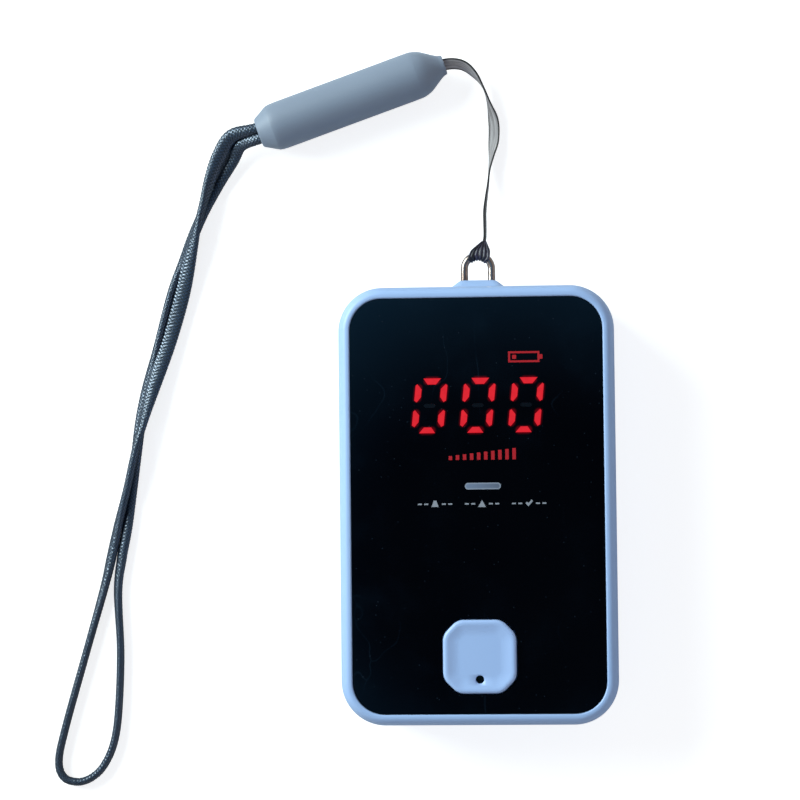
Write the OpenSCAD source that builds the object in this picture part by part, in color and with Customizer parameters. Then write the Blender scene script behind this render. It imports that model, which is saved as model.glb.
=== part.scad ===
// Pocket carbon monoxide detector on a wrist lanyard, lying on its back.
// The origin is the middle of the flat back. +X is to the right of the display,
// +Y points to the lanyard loop and +Z points out of the front panel.

/* [Housing] */
// Length of the housing, without the lanyard boss
body_l = 87.6; // [87:0.2:96]
// Corner radius of the housing, seen from the front
corner_r = 9; // [8.5:0.25:9.5]
// Wall of both shells
wall = 1.6; // [1.4:0.1:1.8]
// Height of the parting line above the back
parting_z = 9; // [8.5:0.25:9.5]
// Width of the shadow groove along the parting line
seam_w = 0.3; // [0.2:0.05:0.4]
// Width of the bezel from the panel to the outside
bezel_w = 2.6; // [2.4:0.1:3.2]
// Width of the flat lip next to the panel
lip_w = 0.6; // [0.4:0.1:0.9]
// Height of the rounding round the front
front_round_h = 4; // [3:0.25:4.5]
// How far the rounding round the back draws in
back_round_w = 4; // [3.5:0.25:4.5]
// Height of the rounding round the back
back_round_h = 4.5; // [4:0.25:5]

/* [Front panel] */
// Thickness of the smoked panel
panel_t = 1.2; // [1:0.1:1.4]
// How far the panel lies below the lip
panel_drop = 0.15; // [0.1:0.05:0.25]
// Gap round the edge of the panel
panel_gap = 0.1; // [0.05:0.05:0.2]
// Thickness of the adhesive frame behind the panel
tape_t = 0.2; // [0.1:0.05:0.3]
// Width of the adhesive frame
tape_w = 2.6; // [2:0.2:3]
// Thickness of the floor that the panel is stuck to
seat_t = 1.4; // [1.2:0.1:1.6]

/* [Display] */
// Height of a digit
digit_h = 10.8; // [9:0.2:11.2]
// Width of a digit
digit_w = 6.25; // [5:0.25:6.5]
// Distance from one digit to the next
digit_pitch = 9.55; // [9.25:0.05:9.8]
// Lean of the digits in degrees
digit_slant = 6; // [0:1:8]
// Width of a lit bar
bar_w = 1.2; // [1:0.05:1.6]
// Middle of the digits, left or right of the middle
digit_x = 0.3; // [-0.5:0.1:0.7]
// Distance from the top end of the housing to the middle of the digits
digits_from_top = 24.05; // [23.8:0.05:25]
// Width of the display block
display_w = 30.5; // [30:0.5:32]
// Length of the display block
display_l = 24; // [24:0.5:25]
// Distance from the top end to the battery mark
battery_mark_from_top = 14.55; // [14.3:0.05:15.4]
// Distance from the top end to the row of level bars
level_from_top = 33.75; // [33.4:0.05:34.4]
// Distance from the top end to the status lamp
lamp_from_top = 40.05; // [39.8:0.05:41]
// Length of the status lamp window
lamp_l = 7.1; // [6:0.1:8]
// Height of the status lamp window
lamp_h = 1.3; // [1.1:0.05:1.6]
// Middle of the status lamp, left or right of the middle
lamp_x = 1.1; // [0:0.1:1.5]
// Distance from the top end to the row of status marks
marks_from_top = 43.55; // [43.4:0.05:45]
// Depth of the marks let into the panel
mark_depth = 0.3; // [0.2:0.05:0.4]

/* [Test button] */
// Side of the button
button_w = 14.5; // [13:0.25:15]
// Corner cut of the button
button_cut = 2.9; // [2:0.1:3.4]
// Radius that softens each corner of the button
button_soft = 3.2; // [2:0.1:3.2]
// How far the button stands above the bezel
button_proud = 0.5; // [0.3:0.1:0.8]
// Distance from the bottom end of the housing to the middle of the button
button_from_bottom = 13.95; // [13.8:0.05:15]
// Travel of the button
button_travel = 0.5; // [0.3:0.05:0.6]
// Gap round the button
button_gap = 0.25; // [0.2:0.05:0.35]
// Diameter of the hole in the button
pinhole_d = 1.65; // [1.2:0.05:2]
// Distance of the hole below the middle of the button
pinhole_drop = 4.5; // [4:0.1:4.6]
// Diameter of the switch plunger
plunger_d = 3; // [2.6:0.1:3.4]

/* [Lanyard loop] */
// Diameter of the steel wire
wire_d = 1.5; // [1.3:0.1:1.7]
// Width inside the wire loop
loop_inner_w = 4; // [3.6:0.1:4.6]
// Height of the loop's round centre above the top end
loop_rise = 4; // [3.2:0.1:4.2]
// Middle of the loop, left or right of the middle
loop_x = 0.5; // [0:0.1:1]
// Height of the lanyard boss above the top end
boss_h = 1.6; // [1.2:0.1:1.8]
// Length of each bent foot of the wire inside the housing
foot_l = 2.4; // [2:0.1:2.8]

/* [Battery bay] */
// Distance from each side of the housing to the battery bay
bay_side = 3.6; // [3.5:0.1:4.6]
// Diameter of a battery cell
cell_d = 10.5; // [10:0.1:10.6]
// Length of a battery cell, with its nub
cell_l = 44.5; // [43.5:0.25:44.5]
// Gap between the two cells
cell_gap = 0.3; // [0.2:0.05:0.4]
// Distance from the bottom end to the middle of the lower cell
cell_from_bottom = 8.85; // [8.75:0.05:9.1]
// Length of a contact spring with the cells in place
spring_l = 2.9; // [2.7:0.1:3]
// Thickness of the contact plates
plate_t = 0.4; // [0.3:0.05:0.5]
// Thickness of the battery door
door_t = 1.6; // [1.5:0.05:1.8]
// Width of the ledge on each side of the battery door
door_ledge = 1.5; // [1.4:0.1:1.7]
// Gap round the battery door
door_gap = 0.25; // [0.2:0.05:0.3]
// Depth of the door's side tongues
tongue_w = 1.2; // [1:0.1:1.3]

/* [Electronics] */
// Thickness of the circuit board
board_t = 1; // [0.8:0.1:1.2]
// Height of the posts between the board and the front frame
post_h = 2.4; // [2.3:0.1:2.5]
// Diameter of the gas sensor
sensor_d = 14; // [12:0.5:15]
// Height of the gas sensor
sensor_h = 8.5; // [7:0.25:9]
// Diameter of the buzzer
buzzer_d = 12; // [10:0.5:13]
// Height of the buzzer
buzzer_h = 6; // [5:0.25:7]
// Distance from the top end to the sensor and the buzzer
sounders_from_top = 21; // [20:0.5:22]

/* [Fasteners] */
// Diameter of the housing screws
screw_d = 1.8; // [1.6:0.1:2]
// Diameter of the screw heads
screw_head_d = 3.6; // [3.2:0.1:3.8]
// Diameter of the screw bosses
boss_d = 4.8; // [4.6:0.1:5]
// Depth of the screw heads' counterbores
counterbore_h = 2.6; // [2.2:0.1:3]
// Diameter of the board screws
board_screw_d = 1.5; // [1.3:0.1:1.6]

/* [Wrist lanyard] */
// Diameter of the grip sleeve
sleeve_d = 9.8; // [9:0.2:10.4]
// Length of the grip sleeve
sleeve_l = 40.8; // [40:0.2:41.6]
// Diameter of the cord held in the sleeve
cord_d = 1.5; // [1.3:0.1:1.7]
// Thickness of the ribbon between the loop and the sleeve
ribbon_d = 1.6; // [1.4:0.1:1.8]

/* [Hidden] */

$fn = 48;
eps = 0.5;        // how far a cut runs past the face that it opens
fit = 0.05;       // radial gap of wire, screws and plungers in their holes
ease = 0.3;       // gap between inner ribs and the opposite shell
trace = 0.04;     // gap round the bars and marks in the panel
sink = 0.03;      // how far the bars and marks lie below the panel's face
corner_steps = 8; // facets in each rounded corner of an outline

// The cells set the width, and the stack from the door to the panel sets the thickness
bay_half = (cell_l + spring_l) / 2 + plate_t;
body_w = 2 * (bay_half + bay_side);
body_t = door_t + door_gap + cell_d + ease + board_t + post_h + seat_t + tape_t + panel_t + panel_drop;
echo(housing_width = body_w, housing_thickness = body_t);

// Ends, and heights of the stack, from the front down
top_y = body_l / 2;
bottom_y = -body_l / 2;
panel_w = body_w - 2 * bezel_w;
panel_l = body_l - 2 * bezel_w;
panel_r = corner_r - bezel_w;
panel_top = body_t - panel_drop;
panel_bottom = panel_top - panel_t;
seat_top = panel_bottom - tape_t;
seat_bottom = seat_top - seat_t;
board_top = seat_bottom - post_h;
board_bottom = board_top - board_t;
side_draft = 0.15;                      // lean of the sides towards the front
hollow_in = wall + side_draft + 0.1;    // inset of the front frame's hollow
front_round_w = bezel_w - lip_w - side_draft;

// Display and button places
digit_y = top_y - digits_from_top;
lamp_y = top_y - lamp_from_top;
marks_y = top_y - marks_from_top;
mark_y = top_y - battery_mark_from_top;
level_y = top_y - level_from_top;
block_y = digit_y - 0.15;
block_top = panel_bottom - 0.45;
bar_bottom_w = 1.1;
marks_x = 0.9;
mark_x = 9.5;
level_x = 1.05;
button_y = bottom_y + button_from_bottom;
button_x = 0.1;
button_top = body_t + button_proud;
flange_w = 1.05;                        // how far the button's flange reaches out
flange_top = seat_bottom - 0.1;
flange_t = 0.9;
dish_h = 0.45;                          // depth of the hollow in the button's face
dish_in = 0.9;                          // rim left round the hollow
dish_w = 2.5;                           // width of the slope from the rim to the flat middle
switch_w = 6;
switch_h = 1.4;
plunger_top = board_top + switch_h + button_travel + 0.1;
plunger_bottom = plunger_top - button_travel - 0.6;

// Battery bay places
cell_r = cell_d / 2;
low_cell_y = bottom_y + cell_from_bottom;
high_cell_y = low_cell_y + cell_d + cell_gap;
bay_top_y = high_cell_y + cell_r + 0.25;
bay_wall = 1.2;
cell_z = door_t + door_gap + cell_r;
rib_top = board_bottom - ease;
tongue_z = 0.85;                        // height of the underside of the door's tongues
rail_z = door_t + 0.1;
rail_h = 1;
rail_in = cell_l / 2 + 0.65;            // half the width between the rails
door_half = bay_half - door_ledge;
door_top_y = bay_top_y + bay_wall / 2;
nub_l = 1;
nub_d = 5.5;
spring_wire = 0.5;
spring_turns = 2.5;
plate_w = 0.65 * cell_d;

// Screws, bosses and inner supports
screw_end_in = 6.5;                     // screws, in from the side and from the top end
post_y = bay_top_y + bay_wall + 2.6;    // the row of screws next to the battery bay
screw_places = [[body_w / 2 - screw_end_in, top_y - screw_end_in],
    [-body_w / 2 + screw_end_in, top_y - screw_end_in],
    [body_w / 2 - screw_end_in, post_y], [-body_w / 2 + screw_end_in, post_y]];
boss_meet_z = parting_z - 1;
screw_head_h = 1.3;
screw_len = board_top - counterbore_h;
post_d = 3.6;
post_in = 6.2;                          // board posts next to the display, in from the side
display_post_y = block_y - display_l / 2 + 0.35;
post_places = [[body_w / 2 - post_in, display_post_y], [post_in - body_w / 2, display_post_y],
    [0, post_y]];
board_head_d = 2.8;
board_head_h = 0.8;
board_shank = board_t + post_h - 0.45;
lip_t = 0.7;                            // thickness of the lip that joins the shells
lip_h = 1.2;
sensor_in = 16.2;                       // sensor and buzzer, in from the sides
buzzer_in = 15.2;
sensor_x = sensor_in - body_w / 2;
buzzer_x = body_w / 2 - buzzer_in;
can_y = top_y - sounders_from_top;
chip_w = 7;
chip_t = 0.9;
little_chip_l = 1.6;
chip_clear = 1;                         // free board round the lamp and the lower board screw
chips_top = lamp_y - lamp_h / 2 - chip_clear;
chips_bottom = post_y + board_head_d / 2 + chip_clear;
chips_y = (chips_top + chips_bottom) / 2;
chip_row = (chips_top - chips_bottom - little_chip_l) / 2;
gasket_t = 1.2;
filter_t = 0.4;

// The wire loop and its boss
wire_r = wire_d / 2;
loop_r = loop_inner_w / 2 + wire_r;
loop_y = top_y + loop_rise;
foot_y = top_y - 3;
clamp_in = top_y - 1.7;                 // outer face of the blocks that clamp the feet
clamp_l = 2.8;
clamp_half = loop_r + foot_l + wire_r + 0.9;
boss_top_half = loop_r + wire_r + 0.4;
boss_foot = 2.2;                        // how far the boss flares on each side
boss_half_h = 4.2;
boss_xs = [for (i = [0 : 16]) loop_x + (boss_top_half + boss_foot) * (1 - i / 8)];

// Lanyard: the sleeve's mouth, its heading in degrees and its height
mouth = [-44.5, 77];
sleeve_turn = 19.3;
sleeve_z = sleeve_d / 2;
anchor_from = 7;
anchor_to = 31;
bore_d = 6.6;
ring_step = 4.4;                        // distance between the rings of a cord's tube

// Route of the wrist cord: out of the sleeve, round the loop and back
cord_route = [[-38, 80.4, 4.9], [-45, 78, 4.9], [-50, 76.5, 3.9], [-52.5, 73, 3], [-55, 68, 2.8],
    [-56.7, 61.5, 3.3], [-58.6, 54.8, 2.4], [-61, 45, 1.1], [-63.9, 34.7, 1.1], [-67.2, 24.6, 2.2],
    [-69.2, 17.8, 2.9], [-71, 11, 3.3], [-72.7, 4, 2.6], [-74.8, -3.5, 1.3], [-76.4, -10.5, 0.9],
    [-78, -17, 0.9], [-82, -31, 1.1], [-86, -45, 1.1], [-87.5, -52, 1.1], [-86.5, -55.5, 1.1],
    [-83.5, -56.5, 1.1], [-80.5, -55.5, 1.1], [-78, -53, 1.1], [-76, -48.5, 1.1], [-75, -42, 1.1],
    [-74.5, -30, 1.1], [-75, -17.5, 0.9], [-74.2, -10.5, 0.9], [-73, -4, 0.9], [-72, 3.5, 0.9],
    [-71, 11, 1], [-70, 18.5, 0.9], [-68.6, 25.5, 0.8], [-66.3, 34.8, 1.1], [-63.5, 45.2, 1.1],
    [-61.2, 51.4, 0.9], [-59, 56.5, 0.8], [-56.5, 61.5, 0.9], [-53.5, 67, 1.1], [-50.5, 72, 1.6],
    [-48.5, 75, 3], [-44, 76, 4.9], [-37.2, 78.2, 4.9]];

// Route of the ribbon: from the hitch down to the surface and up into the sleeve
ribbon_route = [[2, 54.5, 8.4], [2, 57, 7], [2, 60, 5], [2.3, 63, 3.2], [2.7, 66, 2], [3, 69, 1.4],
    [3.5, 72, 1.2], [4, 75.5, 1.1], [4, 79, 1.2], [3.2, 82.5, 1.6], [2, 86, 2.3], [0, 88.8, 3.2],
    [-2.5, 90.5, 4.2], [-6, 90.5, 4.9], [-10.5, 88.9, 4.9], [-15, 87.3, 4.9]];

// ---------------------------------------------------------------- outlines

function arc(centre, r, from, to, steps) =
    [for (i = [0 : steps]) centre + r * [cos(from + (to - from) * i / steps),
        sin(from + (to - from) * i / steps)]];

function round_rect(w, l, r, steps = corner_steps) = concat(
    arc([w / 2 - r, l / 2 - r], r, 0, 90, steps),
    arc([r - w / 2, l / 2 - r], r, 90, 180, steps),
    arc([r - w / 2, r - l / 2], r, 180, 270, steps),
    arc([w / 2 - r, r - l / 2], r, 270, 360, steps));

function unit(v) = v / norm(v);

// One corner of an outline turned into an arc of radius r
function corner_arc(a, b, c, r, steps) =
    let (u = unit(a - b), v = unit(c - b), half = acos(u * v) / 2,
        centre = b + unit(u + v) * r / sin(half),
        start = b + u * r / tan(half) - centre, end = b + v * r / tan(half) - centre,
        from = atan2(start.y, start.x), turn = atan2(end.y, end.x) - from,
        sweep = turn > 180 ? turn - 360 : turn < -180 ? turn + 360 : turn)
    arc(centre, r, from, from + sweep, steps);

function filleted(points, r, steps = 4) =
    let (n = len(points))
    [for (i = [0 : n - 1]) each corner_arc(points[(i + n - 1) % n], points[i],
        points[(i + 1) % n], r, steps)];

// The button's outline: a square with cut, softened corners, grown by g
function button_outline(g) =
    let (h = button_w / 2 + g, c = button_cut + 0.6 * g)
    filleted([[h, h - c], [h - c, h], [c - h, h], [-h, h - c], [-h, c - h], [c - h, -h],
        [h - c, -h], [h, c - h]], button_soft + 0.6 * g);

function body_outline(inset) = round_rect(body_w - 2 * inset, body_l - 2 * inset, corner_r - inset);

function at_height(points, z) = [for (p = points) [p.x, p.y, z]];

// The boss round the wire loop: how far the top end swells out at x and z, fading both ways
function ramp(t) = let (c = max(0, min(1, t))) c * c * (3 - 2 * c);
function boss_out(x, z) = boss_h
    * ramp((boss_top_half + boss_foot - abs(x - loop_x)) / (boss_foot + wire_r))
    * ramp((1 - abs(z - parting_z) / boss_half_h) / 0.7);

// The housing's outline at a height, with the boss or, for rings inside the wall, without it
function body_ring(inset, z, boss = 1) =
    let (w = body_w / 2 - inset, l = body_l / 2 - inset, r = corner_r - inset)
    at_height(concat(arc([w - r, l - r], r, 0, 90, corner_steps),
        [for (x = boss_xs) [x, l + boss * boss_out(x, z)]],
        arc([r - w, l - r], r, 90, 180, corner_steps),
        arc([r - w, r - l], r, 180, 270, corner_steps),
        arc([w - r, r - l], r, 270, 360, corner_steps)), z);

// A closed solid through a stack of rings that have equally many points
module loft(rings) {
    n = len(rings[0]);
    last = len(rings) - 1;
    sides = [for (k = [0 : last - 1], i = [0 : n - 1])
        [k * n + i, (k + 1) * n + i, (k + 1) * n + (i + 1) % n, k * n + (i + 1) % n]];
    polyhedron(points = [for (r = rings) each r],
        faces = concat([[for (i = [0 : n - 1]) i]], sides,
            [[for (i = [n - 1 : -1 : 0]) last * n + i]]), convexity = 6);
}

module slab(points, z, h) {
    translate([0, 0, z]) linear_extrude(h) polygon(points);
}

// A block given by its lowest corner and its highest corner
module block(low, high) {
    translate(low) cube(high - low);
}

// ------------------------------------------------------------------- cords

// Smooth curve through the route, a few steps to each stretch
function bend(a, b, c, d, t) = b + 0.5 * t * (c - a + t * (2 * a - 5 * b + 4 * c - d
    + t * (3 * (b - c) + d - a)));
function smooth(route, steps = 6) =
    let (n = len(route) - 1)
    concat([for (i = [0 : n - 1], k = [0 : steps - 1])
        bend(route[max(i - 1, 0)], route[i], route[i + 1], route[min(i + 2, n)], k / steps)],
        [route[n]]);
function run_lengths(p, i = 1, sums = [0]) =
    i == len(p) ? sums : run_lengths(p, i + 1, concat(sums, [sums[i - 1] + norm(p[i] - p[i - 1])]));
// The same curve cut into equal steps along its length
function even(points, step) =
    let (s = run_lengths(points), total = s[len(s) - 1], n = round(total / step),
        along = [for (axis = [0 : 2]) [for (i = [0 : len(points) - 1]) [s[i], points[i][axis]]]])
    [for (i = [0 : n]) [for (axis = [0 : 2]) lookup(total * i / n, along[axis])]];

// A closed tube round a list of points. The sides are set out from the up direction.
module tube(points, d, sides, up) {
    last = len(points) - 1;
    rings = [for (i = [0 : last])
        let (ahead = unit(points[min(i + 1, last)] - points[max(i - 1, 0)]),
            across = unit(cross(up, ahead)), over = cross(ahead, across))
        [for (k = [0 : sides - 1])
            points[i] + d / 2 * (cos(360 * k / sides) * across + sin(360 * k / sides) * over)]];
    walls = [for (i = [0 : last - 1], k = [0 : sides - 1])
        let (a = i * sides + k, b = i * sides + (k + 1) % sides)
        each [[a, a + sides, b], [b, a + sides, b + sides]]];
    polyhedron(points = [for (r = rings) each r],
        faces = concat([[for (k = [0 : sides - 1]) k]], walls,
            [[for (k = [sides - 1 : -1 : 0]) last * sides + k]]), convexity = 10);
}

// ----------------------------------------------------------------- housing

front_rings = concat(
    [body_ring(hollow_in + ease, parting_z + fit, 0), body_ring(seam_w, parting_z + fit),
     body_ring(0, parting_z + fit + seam_w)],
    [for (t = [0.25 : 0.15 : 1.01]) body_ring(side_draft * t, parting_z + boss_half_h * t)],
    [body_ring(side_draft, body_t - front_round_h)],
    [for (a = [15 : 15 : 90]) body_ring(side_draft + front_round_w * (1 - cos(a)),
        body_t - front_round_h * (1 - sin(a)))],
    [body_ring(bezel_w + ease, body_t)]);

back_rings = [for (a = [0 : 15 : 90]) body_ring(back_round_w * (1 - sin(a)),
    back_round_h * (1 - cos(a)))];

rear_rings = concat(back_rings,
    [for (t = [0.9 : -0.15 : 0.14]) body_ring(0, parting_z - boss_half_h * t)],
    [body_ring(0, parting_z - seam_w), body_ring(seam_w, parting_z)]);

rear_hollow_rings = concat(
    [for (a = [0 : 15 : 90]) at_height(
        body_outline(wall + back_round_w * (1 - sin(a))),
        wall + (back_round_h - wall) * (1 - cos(a)))],
    [at_height(body_outline(wall), parting_z + eps)]);

// Room for the wire: straight legs and outward feet
module wire_room(gap) {
    translate([loop_x, 0, parting_z]) for (s = [-1, 1]) {
        translate([s * loop_r, foot_y, 0]) rotate([-90, 0, 0])
            cylinder(r = wire_r + gap, h = loop_rise + 3 + eps);
        translate([s * loop_r, foot_y, 0]) sphere(r = wire_r + gap);
        translate([s * loop_r, foot_y, 0]) rotate([0, s * 90, 0])
            cylinder(r = wire_r + gap, h = foot_l + gap);
    }
}

module at_places(places) {
    for (p = places) translate([p.x, p.y, 0]) children();
}

module front_frame() color([0.66, 0.77, 0.91]) difference() {
    union() {
        difference() {
            loft(front_rings);
            slab(body_outline(hollow_in), parting_z - eps, seat_bottom - parting_z + eps);
        }
        at_places(screw_places) translate([0, 0, boss_meet_z + fit])
            cylinder(d = boss_d, h = seat_bottom - boss_meet_z);
        at_places(post_places) translate([0, 0, board_top])
            cylinder(d = post_d, h = seat_bottom - board_top + fit);
        block([loop_x - clamp_half, clamp_in - clamp_l, parting_z + fit],
            [loop_x + clamp_half, clamp_in, seat_bottom + fit]);
    }
    slab(round_rect(panel_w, panel_l, panel_r), seat_top, body_t);
    translate([digit_x, block_y, 0])
        slab(round_rect(display_w + 2 * 0.15, display_l + 2 * 0.15, 0.8), board_top, body_t);
    translate([lamp_x, lamp_y, 0])
        slab(round_rect(lamp_l + 0.2, lamp_h + 0.2, lamp_h / 2), board_top, body_t);
    translate([button_x, button_y, 0]) slab(button_outline(button_gap), board_top, body_t);
    at_places(screw_places) translate([0, 0, boss_meet_z])
        cylinder(d = screw_d + 2 * fit, h = counterbore_h + screw_len - boss_meet_z + 0.3);
    at_places(post_places) translate([0, 0, board_top - eps])
        cylinder(d = board_screw_d + 2 * fit, h = eps + board_shank - board_t + 0.2);
    wire_room(fit);
}

// Ribs of the rear shell that stand inside the front frame too
module rear_ribs() {
    intersection() {
        slab(body_outline(hollow_in + ease), wall - fit, rib_top - wall + fit);
        union() {
            block([-body_w, bay_top_y, wall - fit], [body_w, bay_top_y + bay_wall, rib_top]);
            for (s = [-1, 1]) {
                block([min(s * bay_half, s * body_w), low_cell_y - 4, rail_z],
                    [max(s * bay_half, s * body_w), bay_top_y + fit, rib_top]);
                block([min(s * rail_in, s * body_w), bottom_y, rail_z],
                    [max(s * rail_in, s * body_w), bay_top_y + fit, rail_z + rail_h]);
            }
        }
    }
    // The lip stands on the wall and reaches into the front frame
    difference() {
        union() {
            slab(body_outline(wall - fit), parting_z - 1.4, 1.2);
            slab(body_outline(hollow_in + 0.1), parting_z - 0.4, lip_h + 0.4);
        }
        slab(body_outline(hollow_in + 0.1 + lip_t), parting_z - 2, lip_h + 3);
        block([loop_x - clamp_half - ease, 0, parting_z - 2],
            [loop_x + clamp_half + ease, body_l, parting_z + 3]);
        at_places(screw_places) translate([0, 0, boss_meet_z]) cylinder(d = boss_d + 2 * ease, h = 5);
        // Room for the ends of the lower cell and its contact plates
        translate([-bay_half, low_cell_y, cell_z]) rotate([0, 90, 0])
            cylinder(d = cell_d + ease, h = 2 * bay_half);
        block([-bay_half - ease, low_cell_y - plate_w / 2 - ease, parting_z - 2],
            [bay_half + ease, low_cell_y, parting_z + 3]);
    }
}

module rear_shell() color([0.64, 0.75, 0.89]) difference() {
    union() {
        difference() {
            loft(rear_rings);
            loft(rear_hollow_rings);
        }
        rear_ribs();
        at_places(screw_places) translate([0, 0, wall - fit])
            cylinder(d = boss_d + 0.4, h = boss_meet_z - wall + fit);
        block([loop_x - clamp_half, clamp_in - clamp_l, wall - fit],
            [loop_x + clamp_half, clamp_in, parting_z]);
    }
    at_places(screw_places) {
        translate([0, 0, -eps]) cylinder(d = screw_head_d + 0.6, h = counterbore_h + eps);
        cylinder(d = screw_d + 0.4, h = boss_meet_z + eps);
    }
    wire_room(fit);
    // Opening for the battery door, open at the bottom end, with a groove on each side
    block([-door_half - door_gap, bottom_y - 2, -eps],
        [door_half + door_gap, door_top_y + door_gap, door_t + door_gap]);
    block([-door_half - tongue_w - door_gap, bottom_y - 2, tongue_z - 0.1],
        [door_half + tongue_w + door_gap, door_top_y + door_gap, rail_z]);
    // Sound and gas vents
    translate([sensor_x, can_y, -eps]) vents(6, 4.2);
    translate([buzzer_x, can_y, -eps]) vents(6, 3.6);
}

module vents(count, ring_r) {
    cylinder(d = 1.6, h = wall + 2 * eps);
    for (i = [0 : count - 1]) rotate(360 * i / count) translate([ring_r, 0, 0])
        cylinder(d = 1.6, h = wall + 2 * eps);
}

module battery_door() color([0.63, 0.74, 0.88]) difference() {
    union() {
        intersection() {
            loft(back_rings);
            block([-door_half, bottom_y - 1, 0], [door_half, door_top_y, door_t]);
        }
        intersection() {
            loft(back_rings);
            block([-door_half - tongue_w, bottom_y - 1, tongue_z],
                [door_half + tongue_w, door_top_y, door_t]);
        }
    }
    // Thumb grip: grooves across the outer face
    for (i = [0 : 5]) block([-6, bottom_y + 8.5 + 1.4 * i, -eps], [6, bottom_y + 9.2 + 1.4 * i, 0.35]);
}

module housing_screws() color([0.55, 0.56, 0.58]) at_places(screw_places) difference() {
    union() {
        translate([0, 0, counterbore_h - screw_head_h]) cylinder(d = screw_head_d, h = screw_head_h);
        translate([0, 0, counterbore_h - fit]) cylinder(d = screw_d, h = screw_len + fit);
    }
    for (a = [0, 90]) rotate(a) translate([-1.1, -0.25, counterbore_h - screw_head_h - eps])
        cube([2.2, 0.5, 0.6 + eps]);
}

// ------------------------------------------------------------- front panel

module display_panel() color([0.03, 0.04, 0.06]) difference() {
    slab(round_rect(panel_w - 2 * panel_gap, panel_l - 2 * panel_gap, panel_r - panel_gap),
        panel_bottom, panel_t);
    translate([button_x, button_y, 0]) slab(button_outline(button_gap), seat_top, body_t);
    translate([lamp_x, lamp_y, 0])
        slab(round_rect(lamp_l + 2 * trace, lamp_h + 2 * trace, lamp_h / 2), seat_top, body_t);
    translate([0, 0, seat_top]) linear_extrude(body_t) all_bars(trace);
    translate([0, 0, panel_top - mark_depth - sink]) linear_extrude(body_t) {
        battery_shape(trace);
        level_shape(trace);
        status_shapes(trace);
    }
}

module panel_tape() color([0.12, 0.12, 0.13]) difference() {
    slab(round_rect(panel_w - 2 * panel_gap, panel_l - 2 * panel_gap, panel_r - panel_gap),
        seat_top, tape_t);
    slab(round_rect(panel_w - 2 * tape_w, panel_l - 2 * tape_w, panel_r - 2), seat_top - eps, 2);
}

function slant(points) = [for (p = points) [p.x + p.y * tan(digit_slant), p.y]];

// Bars of one digit round its middle, grown by g. A side bar is cut back at its inner corners.
module side_bar(s, y, h, g) {
    x = digit_w / 2 + g;
    w = bar_w + 2 * g;
    b = h / 2 + g;
    polygon(slant([[s * x, y + b - 0.25], [s * (x - 0.3 - 2 * g), y + b], [s * (x - w), y + b - 1],
        [s * (x - w), y - b + 1], [s * (x - 0.45 - 2 * g), y - b], [s * x, y - b + 0.3]]));
}

module end_bar(s, wide, narrow, h, g) {
    y = digit_h / 2 + g;
    polygon(slant([[-wide / 2 - g, s * y], [wide / 2 + g, s * y],
        [narrow / 2 + g, s * (y - h - 2 * g)], [-narrow / 2 - g, s * (y - h - 2 * g)]]));
}

module lit_bars(g) {
    for (i = [-1 : 1]) translate([digit_x + i * digit_pitch, digit_y]) {
        end_bar(1, digit_w * 0.55, digit_w * 0.26, bar_w - 0.05, g);
        end_bar(-1, digit_w * 0.5, digit_w * 0.22, bar_bottom_w, g);
        for (s = [-1, 1]) {
            side_bar(s, digit_h * 0.232, digit_h * 0.328, g);
            side_bar(s, -digit_h * 0.234, digit_h * 0.306, g);
        }
    }
}

module middle_bars(g) {
    w = digit_w * 0.2;
    for (i = [-1 : 1]) translate([digit_x + i * digit_pitch, digit_y])
        polygon([[-w - g, 0], [-w + 0.4, 0.4 + g], [w - 0.4, 0.4 + g], [w + g, 0],
            [w - 0.4, -0.4 - g], [-w + 0.4, -0.4 - g]]);
}

module all_bars(g) {
    lit_bars(g);
    middle_bars(g);
}

module bar(w, h, g) {
    square([w + 2 * g, h + 2 * g], center = true);
}

// Battery outline with a small charge left
module battery_shape(g) {
    translate([mark_x, mark_y]) {
        difference() {
            bar(6.2, 2.2, g);
            bar(5.4, 1.4, -g);
        }
        translate([3.4, 0]) bar(0.6, 0.9, g);
        translate([-1.9, 0]) bar(0.8, 0.8, g);
    }
}

// Row of bars that grow to the right, as on a level meter
module level_shape(g) {
    for (i = [0 : 9]) translate([level_x - 6.3 + 1.4 * i, level_y - 1.1 + (0.8 + 0.16 * i) / 2])
        bar(0.7, 0.8 + 0.16 * i, g);
}

// Bell, warning triangle and tick, each between two short rows of dashes
module status_shapes(g) {
    for (i = [-1 : 1]) translate([marks_x + i * 9.3, marks_y]) {
        for (s = [-1, 1], k = [0, 1]) translate([s * (1.75 + 1.25 * k), 0]) bar(0.8, 0.3, g);
        if (i == -1) polygon([[-0.75 - g, -0.55 - g], [0.75 + g, -0.55 - g], [0.45 + g, 0.1],
            [0.3 + g, 0.7 + g], [-0.3 - g, 0.7 + g], [-0.45 - g, 0.1]]);
        if (i == 0) polygon([[-0.8 - 1.6 * g, -0.65 - g], [0.8 + 1.6 * g, -0.65 - g], [0, 0.75 + 2 * g]]);
        if (i == 1) polygon([[-0.75 - g, 0.05], [-0.4, 0.35 + 1.4 * g], [-0.15, 0.05 + 1.4 * g],
            [0.5, 0.75 + g], [0.8 + g, 0.45], [-0.15, -0.6 - 1.4 * g]]);
    }
}

module lit_segments() color([0.9, 0.07, 0.1]) translate([0, 0, block_top])
    linear_extrude(panel_top - sink - block_top) lit_bars(0);

module unlit_segments() color([0.12, 0.11, 0.11]) translate([0, 0, block_top])
    linear_extrude(panel_top - sink - block_top) middle_bars(0);

module battery_mark() color([0.8, 0.1, 0.15]) translate([0, 0, panel_top - mark_depth - sink])
    linear_extrude(mark_depth) battery_shape(0);

module level_bars() color([0.8, 0.12, 0.15]) translate([0, 0, panel_top - mark_depth - sink])
    linear_extrude(mark_depth) level_shape(0);

module status_marks() color([0.55, 0.58, 0.62]) translate([0, 0, panel_top - mark_depth - sink])
    linear_extrude(mark_depth) status_shapes(0);

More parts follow.
